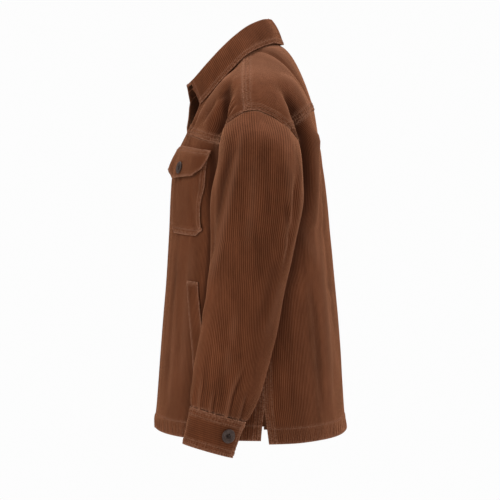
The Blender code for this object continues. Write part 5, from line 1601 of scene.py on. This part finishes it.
for side in ("left", "right"):
    p = PIECES["chest_pocket_" + side]
    for d in (0.0022, 0.0092):
        stitch_row(p.row("low", d, d, d))
        stitch_row(p.row("left", d, d + 0.001, 0.006))
        stitch_row(p.row("right", d, d + 0.001, 0.006))
    p = PIECES["chest_flap_" + side]
    stitch_row(p.row("low", 0.0026, 0.0026, 0.0026))
    stitch_row(p.row("left", 0.0026, 0.003, 0.002))
    stitch_row(p.row("right", 0.0026, 0.003, 0.002))
    for d in (0.0022, 0.0082):
        stitch_row(p.row("high", d, 0.002, 0.002))
    p = PIECES["welt_" + side]
    stitch_row(p.row("left", 0.0022, 0.002, 0.002))
    for edge in ("low", "high"):
        stitch_row(p.row(edge, 0.0022, 0.002, 0.001))
sew("stitches_pockets")

p = PIECES["collar"]
stitch_row(p.row("low", 0.0078, 0.0066, 0.0066))
for edge in ("left", "right"):
    stitch_row(p.row(edge, 0.0066, 0.0080, 0.008))
sew("stitches_collar")

for side in ("left", "right"):
    s = PIECES["sleeve_" + side]
    g, n = s.face(), s.n
    for row in (-0.0034, 0.0034):
        pts, nrm = [], []
        for r in range(g.shape[0]):
            if g[r, :, 2].mean() > -0.25 or r > g.shape[0] - 3:
                continue
            k = int(np.argmin(np.abs(s.fell[r] - row)))
            pts.append(g[r, k])
            nrm.append(n[r, k])
        stitch_row((np.array(pts), np.array(nrm)))
    c = PIECES["cuff_" + side]
    for d in (0.0030, 0.0110):
        stitch_row(c.row("low", d, 0.003, 0.030))
    stitch_row(c.row("high", 0.0030, 0.003, 0.030))
    stitch_row(c.row("high", 0.0110, 0.011, 0.030))
    stitch_row(c.row("left", 0.0030, 0.003, 0.003))
    stitch_row(c.row("left", 0.0110, 0.011, 0.011))
sew("stitches_sleeves")

# ------------------------------------------------------------------ buttons
HOLE_AT, HOLE = 0.0021, 0.00095
CUFF_BUTTON_ANGLE, CUFF_BUTTON_PART = -34.0, 0.46


def button(name, node, centre, normal, width, turn):
    """A turned four-hole button with a raised rim and a dished middle, sewn on
    with two bars of thread."""
    r = width / 2
    n = np.array(normal, float)
    n /= np.linalg.norm(n)
    t = np.cross(n, [0, 0, 1.0])
    t /= np.linalg.norm(t)
    b = np.cross(n, t)
    t, b = t * math.cos(turn) + b * math.sin(turn), b * math.cos(turn) - t * math.sin(turn)
    top_r = np.array([0, .50, .62, .68, .74, .79, .85, .90, .945, .975, 1.0]) * r
    top_h = np.array([.00200, .00202, .00212, .00236, .00272, .00292, .00302, .00300, .00284, .00258, .00220])
    low_r = np.array([0, .80, .88, .94, .98, 1.0]) * r
    low_h = np.array([0, 0, .00012, .00040, .00070, .00100])
    flat, edges = [], []

    def circle(cx, cy, rad, count):
        start = len(flat)
        for i in range(count):
            w = 2 * math.pi * i / count
            flat.append(Vector((cx + rad * math.cos(w), cy + rad * math.sin(w))))
            edges.append((start + i, start + (i + 1) % count))
        return list(range(start, start + count))

    outer = circle(0, 0, r, 64)
    for rad in top_r[1:-1]:
        circle(0, 0, rad, 48 if rad > 0.7 * r else 32)
    holes = []
    for sx in (-1, 1):
        for sy in (-1, 1):
            holes.append(circle(sx * HOLE_AT, sy * HOLE_AT, HOLE, 16))
    made = delaunay_2d_cdt(flat, edges, [], 1, 1e-7)
    pts, tris = made[0], made[2]
    where = {}
    for new, olds in enumerate(made[3]):
        for o in olds:
            where[o] = new

    def in_hole(x, y):
        return math.hypot(abs(x) - HOLE_AT, abs(y) - HOLE_AT) < HOLE * 0.9

    c = np.array(centre, float)
    verts, faces = [], []
    for radii, heights in ((top_r, top_h), (low_r, low_h)):
        for q in pts:
            h = float(np.interp(math.hypot(q.x, q.y), radii, heights))
            verts.append(c + t * q.x + b * q.y + n * h)
    k = len(pts)
    for tri in tris:
        m = sum((pts[i] for i in tri), Vector((0, 0))) / len(tri)
        if in_hole(m.x, m.y):
            continue
        faces.append(tuple(tri))
        faces.append(tuple(i + k for i in reversed(tri)))
    ring = [where[i] for i in outer]
    for i in range(len(ring)):
        p, q = ring[i], ring[(i + 1) % len(ring)]
        faces.append((p, p + k, q + k, q))
    for hole in holes:
        ring = [where[i] for i in hole]
        for i in range(len(ring)):
            p, q = ring[i], ring[(i + 1) % len(ring)]
            faces.append((q, q + k, p + k, p))
    me = bpy.data.meshes.new(name)
    me.from_pydata([tuple(v) for v in verts], [], faces)
    bm = bmesh.new()
    bm.from_mesh(me)
    bmesh.ops.recalc_face_normals(bm, faces=bm.faces)
    for e in bm.edges:
        if len(e.link_faces) == 2 and e.calc_face_angle(0) > 0.7:
            e.smooth = False
    bm.to_mesh(me)
    bm.free()
    me.materials.append(HORN)
    for face in me.polygons:
        face.use_smooth = True
    ob = bpy.data.objects.new(name, me)
    bpy.context.scene.collection.objects.link(ob)
    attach(ob, "root")
    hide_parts(node)
    # thread through the holes, four strands to a bar
    a = HOLE_AT
    for sy in (-1, 1):
        for strand in (-1, 1):
            y0 = sy * a + strand * 0.00026
            line = np.array([c + t * x + b * y0 + n * h for x, h in
                             ((-a - 0.0002, 0.0006), (-a, 0.0021), (-a * 0.4, 0.00262), (a * 0.4, 0.00262),
                              (a, 0.0021), (a + 0.0002, 0.0006))])
            bar(line, n, 0.00026)


def bar(line, normal, r):
    """One bent strand of thread, in the stitches' own shape: five rings."""
    s = arcs(line, 0)
    p = np.stack([np.interp(np.linspace(0, s[-1], 5), s, line[:, i]) for i in range(3)], -1)
    p[0], p[-1] = line[0], line[-1]
    t = p[-1] - p[0]
    t /= np.linalg.norm(t)
    b = np.cross(normal, t)
    w = np.radians([0, 72, 144, 216, 288])
    along_ = np.gradient(p, axis=0)
    along_ /= np.linalg.norm(along_, axis=-1)[:, None]
    up = np.cross(along_, b)
    ring = p[:, None, :] + (b[None, None] * np.cos(w)[None, :, None] + up[:, None, :] * np.sin(w)[None, :, None]) * r
    THREAD.append(ring.reshape(1, 25, 3))


def face_spot(piece, u, v):
    """A spot on a piece's face by its parts across and up, and its normal."""
    c = PIECES[piece]
    rows, cols = c.g.shape[:2]
    col = int(round(u * (cols - 1)))
    if c.right:
        col = cols - 1 - col
    r = int(np.argmin(np.abs(c.low[:, col] / c.low[-1, col] - v)))
    g = c.face()
    r0, r1, c0, c1 = max(r - 2, 0), min(r + 2, rows - 1), max(col - 8, 0), min(col + 8, cols - 1)
    n = c.n[r0:r1 + 1, c0:c1 + 1].reshape(-1, 3).mean(0)
    return g[r, col], n / np.linalg.norm(n)


for side, right in (("left", False), ("right", True)):
    p, n = face_spot("chest_flap_" + side, 0.44, 0.30)
    button("button_pocket_" + side, "pocket_button_" + side, p + n * 0.0008, n, BUTTON_POCKET, 0.15)
    sign = -1 if right else 1
    u0 = (CUFF_BUTTON_ANGLE - CUFF_START) / (CUFF_END - CUFF_START)
    p, n = face_spot("cuff_" + side, u0, 1 - CUFF_BUTTON_PART)
    q = cuff_ring(np.array([CUFF_BUTTON_PART]), np.array([CUFF_BUTTON_ANGLE]))[0] * np.array([sign, 1, 1])
    button("button_cuff_" + side, "cuff_button_" + side, q + n * 0.0009, n, BUTTON_CUFF, 0.1)
sew("button_threads", BUTTON_THREAD)

# ------------------------------------------------------------------ each piece on the root body, in place of its CAD part
for name, c in PIECES.items():
    g = c.g if not c.wrap else np.concatenate([c.g, c.g[:, :1]], 1)
    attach(c.object, "root")
    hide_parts(name)

# ------------------------------------------------------------------ floor, light and camera
FLOOR = -1.40


def pale(name, colour):
    m, t, b = nodes_of(name)
    xyz = t.nodes.new("ShaderNodeTexCoord").outputs["Object"]
    t.links.new(ramp(t, noise(t, xyz, 3.0, 2.0), [(0.0, colour), (1.0, tuple(x * 0.985 for x in colour))]),
                b.inputs["Base Color"])
    b.inputs["Roughness"].default_value = 0.95
    return m


me = bpy.data.meshes.new("floor")
ring = [(6 * math.cos(2 * math.pi * i / 96), 6 * math.sin(2 * math.pi * i / 96), FLOOR) for i in range(96)]
me.from_pydata(ring, [], [tuple(range(96))])
me.materials.append(pale("floor", (0.92, 0.92, 0.92)))
floor = bpy.data.objects.new("floor", me)
bpy.context.scene.collection.objects.link(floor)


def backdrop(name, me, bright):
    """A plain pale surface that shows and lights nothing."""
    m = bpy.data.materials.new(name)
    m.use_nodes = True
    m.node_tree.nodes.clear()
    glow = m.node_tree.nodes.new("ShaderNodeEmission")
    glow.inputs[0].default_value = (1.0, 1.0, 1.0, 1)
    glow.inputs[1].default_value = bright
    m.node_tree.links.new(glow.outputs[0], m.node_tree.nodes.new("ShaderNodeOutputMaterial").inputs[0])
    me.materials.append(m)
    ob = bpy.data.objects.new(name, me)
    bpy.context.scene.collection.objects.link(ob)
    for ray in ("diffuse", "glossy", "transmission", "shadow", "volume_scatter"):
        setattr(ob, "visible_" + ray, False)


# the floor as seen lies on the one that the light falls on, and stays pale away from the lamps
floor.visible_camera = False
me = bpy.data.meshes.new("floor_seen")
me.from_pydata([(x, y, z + 0.001) for x, y, z in ring], [], [tuple(range(96))])
backdrop("floor_seen", me, 0.93)
bm = bmesh.new()
bmesh.ops.create_icosphere(bm, subdivisions=3, radius=30.0)
me = bpy.data.meshes.new("surround")
bm.to_mesh(me)
bm.free()
backdrop("surround", me, 0.98)


def softbox(name, place, towards, size, power, colour=(1.0, 1.0, 1.0)):
    d = bpy.data.lights.new(name, "AREA")
    d.shape = "RECTANGLE"
    d.size, d.size_y = size
    d.energy = power
    d.color = colour
    ob = bpy.data.objects.new(name, d)
    ob.location = place
    ob.rotation_euler = (Vector(towards) - Vector(place)).to_track_quat("-Z", "Y").to_euler()
    bpy.context.scene.collection.objects.link(ob)


softbox("front_side", (0.2, -3.4, 1.2), (0.1, 0.0, -0.3), (1.5, 2.2), 27)
softbox("front_camera", (2.6, -2.6, 1.2), (0.1, 0.0, -0.3), (1.5, 2.0), 34)
softbox("back_rim", (-1.2, 3.2, 1.4), (0.0, 0.0, -0.3), (1.5, 2.2), 62)
softbox("back_side", (1.3, 3.2, 1.5), (0.1, 0.0, -0.3), (1.5, 2.2), 6)
softbox("overhead", (-1.1, 0.2, 3.0), (0.0, 0.0, -0.2), (1.5, 1.5), 94)
softbox("camera_side", (4.6, 0.4, 1.4), (0.2, 0.0, -0.3), (1.6, 1.6), 58)


world = bpy.data.worlds.new("studio")
bpy.context.scene.world = world
world.use_nodes = True
world.node_tree.nodes["Background"].inputs[0].default_value = (1.0, 1.0, 1.0, 1)
world.node_tree.nodes["Background"].inputs[1].default_value = 0.195

cam = bpy.data.cameras.new("camera")
cam.sensor_width = 36.0
cam.lens = 36.0 * 6.0 / 0.85
cam.clip_end = 60.0
camera = bpy.data.objects.new("camera", cam)
camera.location = (6.0, 0.0, -0.3315)
camera.rotation_euler = (math.radians(90), 0.0, math.radians(90))
bpy.context.scene.collection.objects.link(camera)
bpy.context.scene.camera = camera
bpy.context.scene.view_settings.view_transform = "Standard"
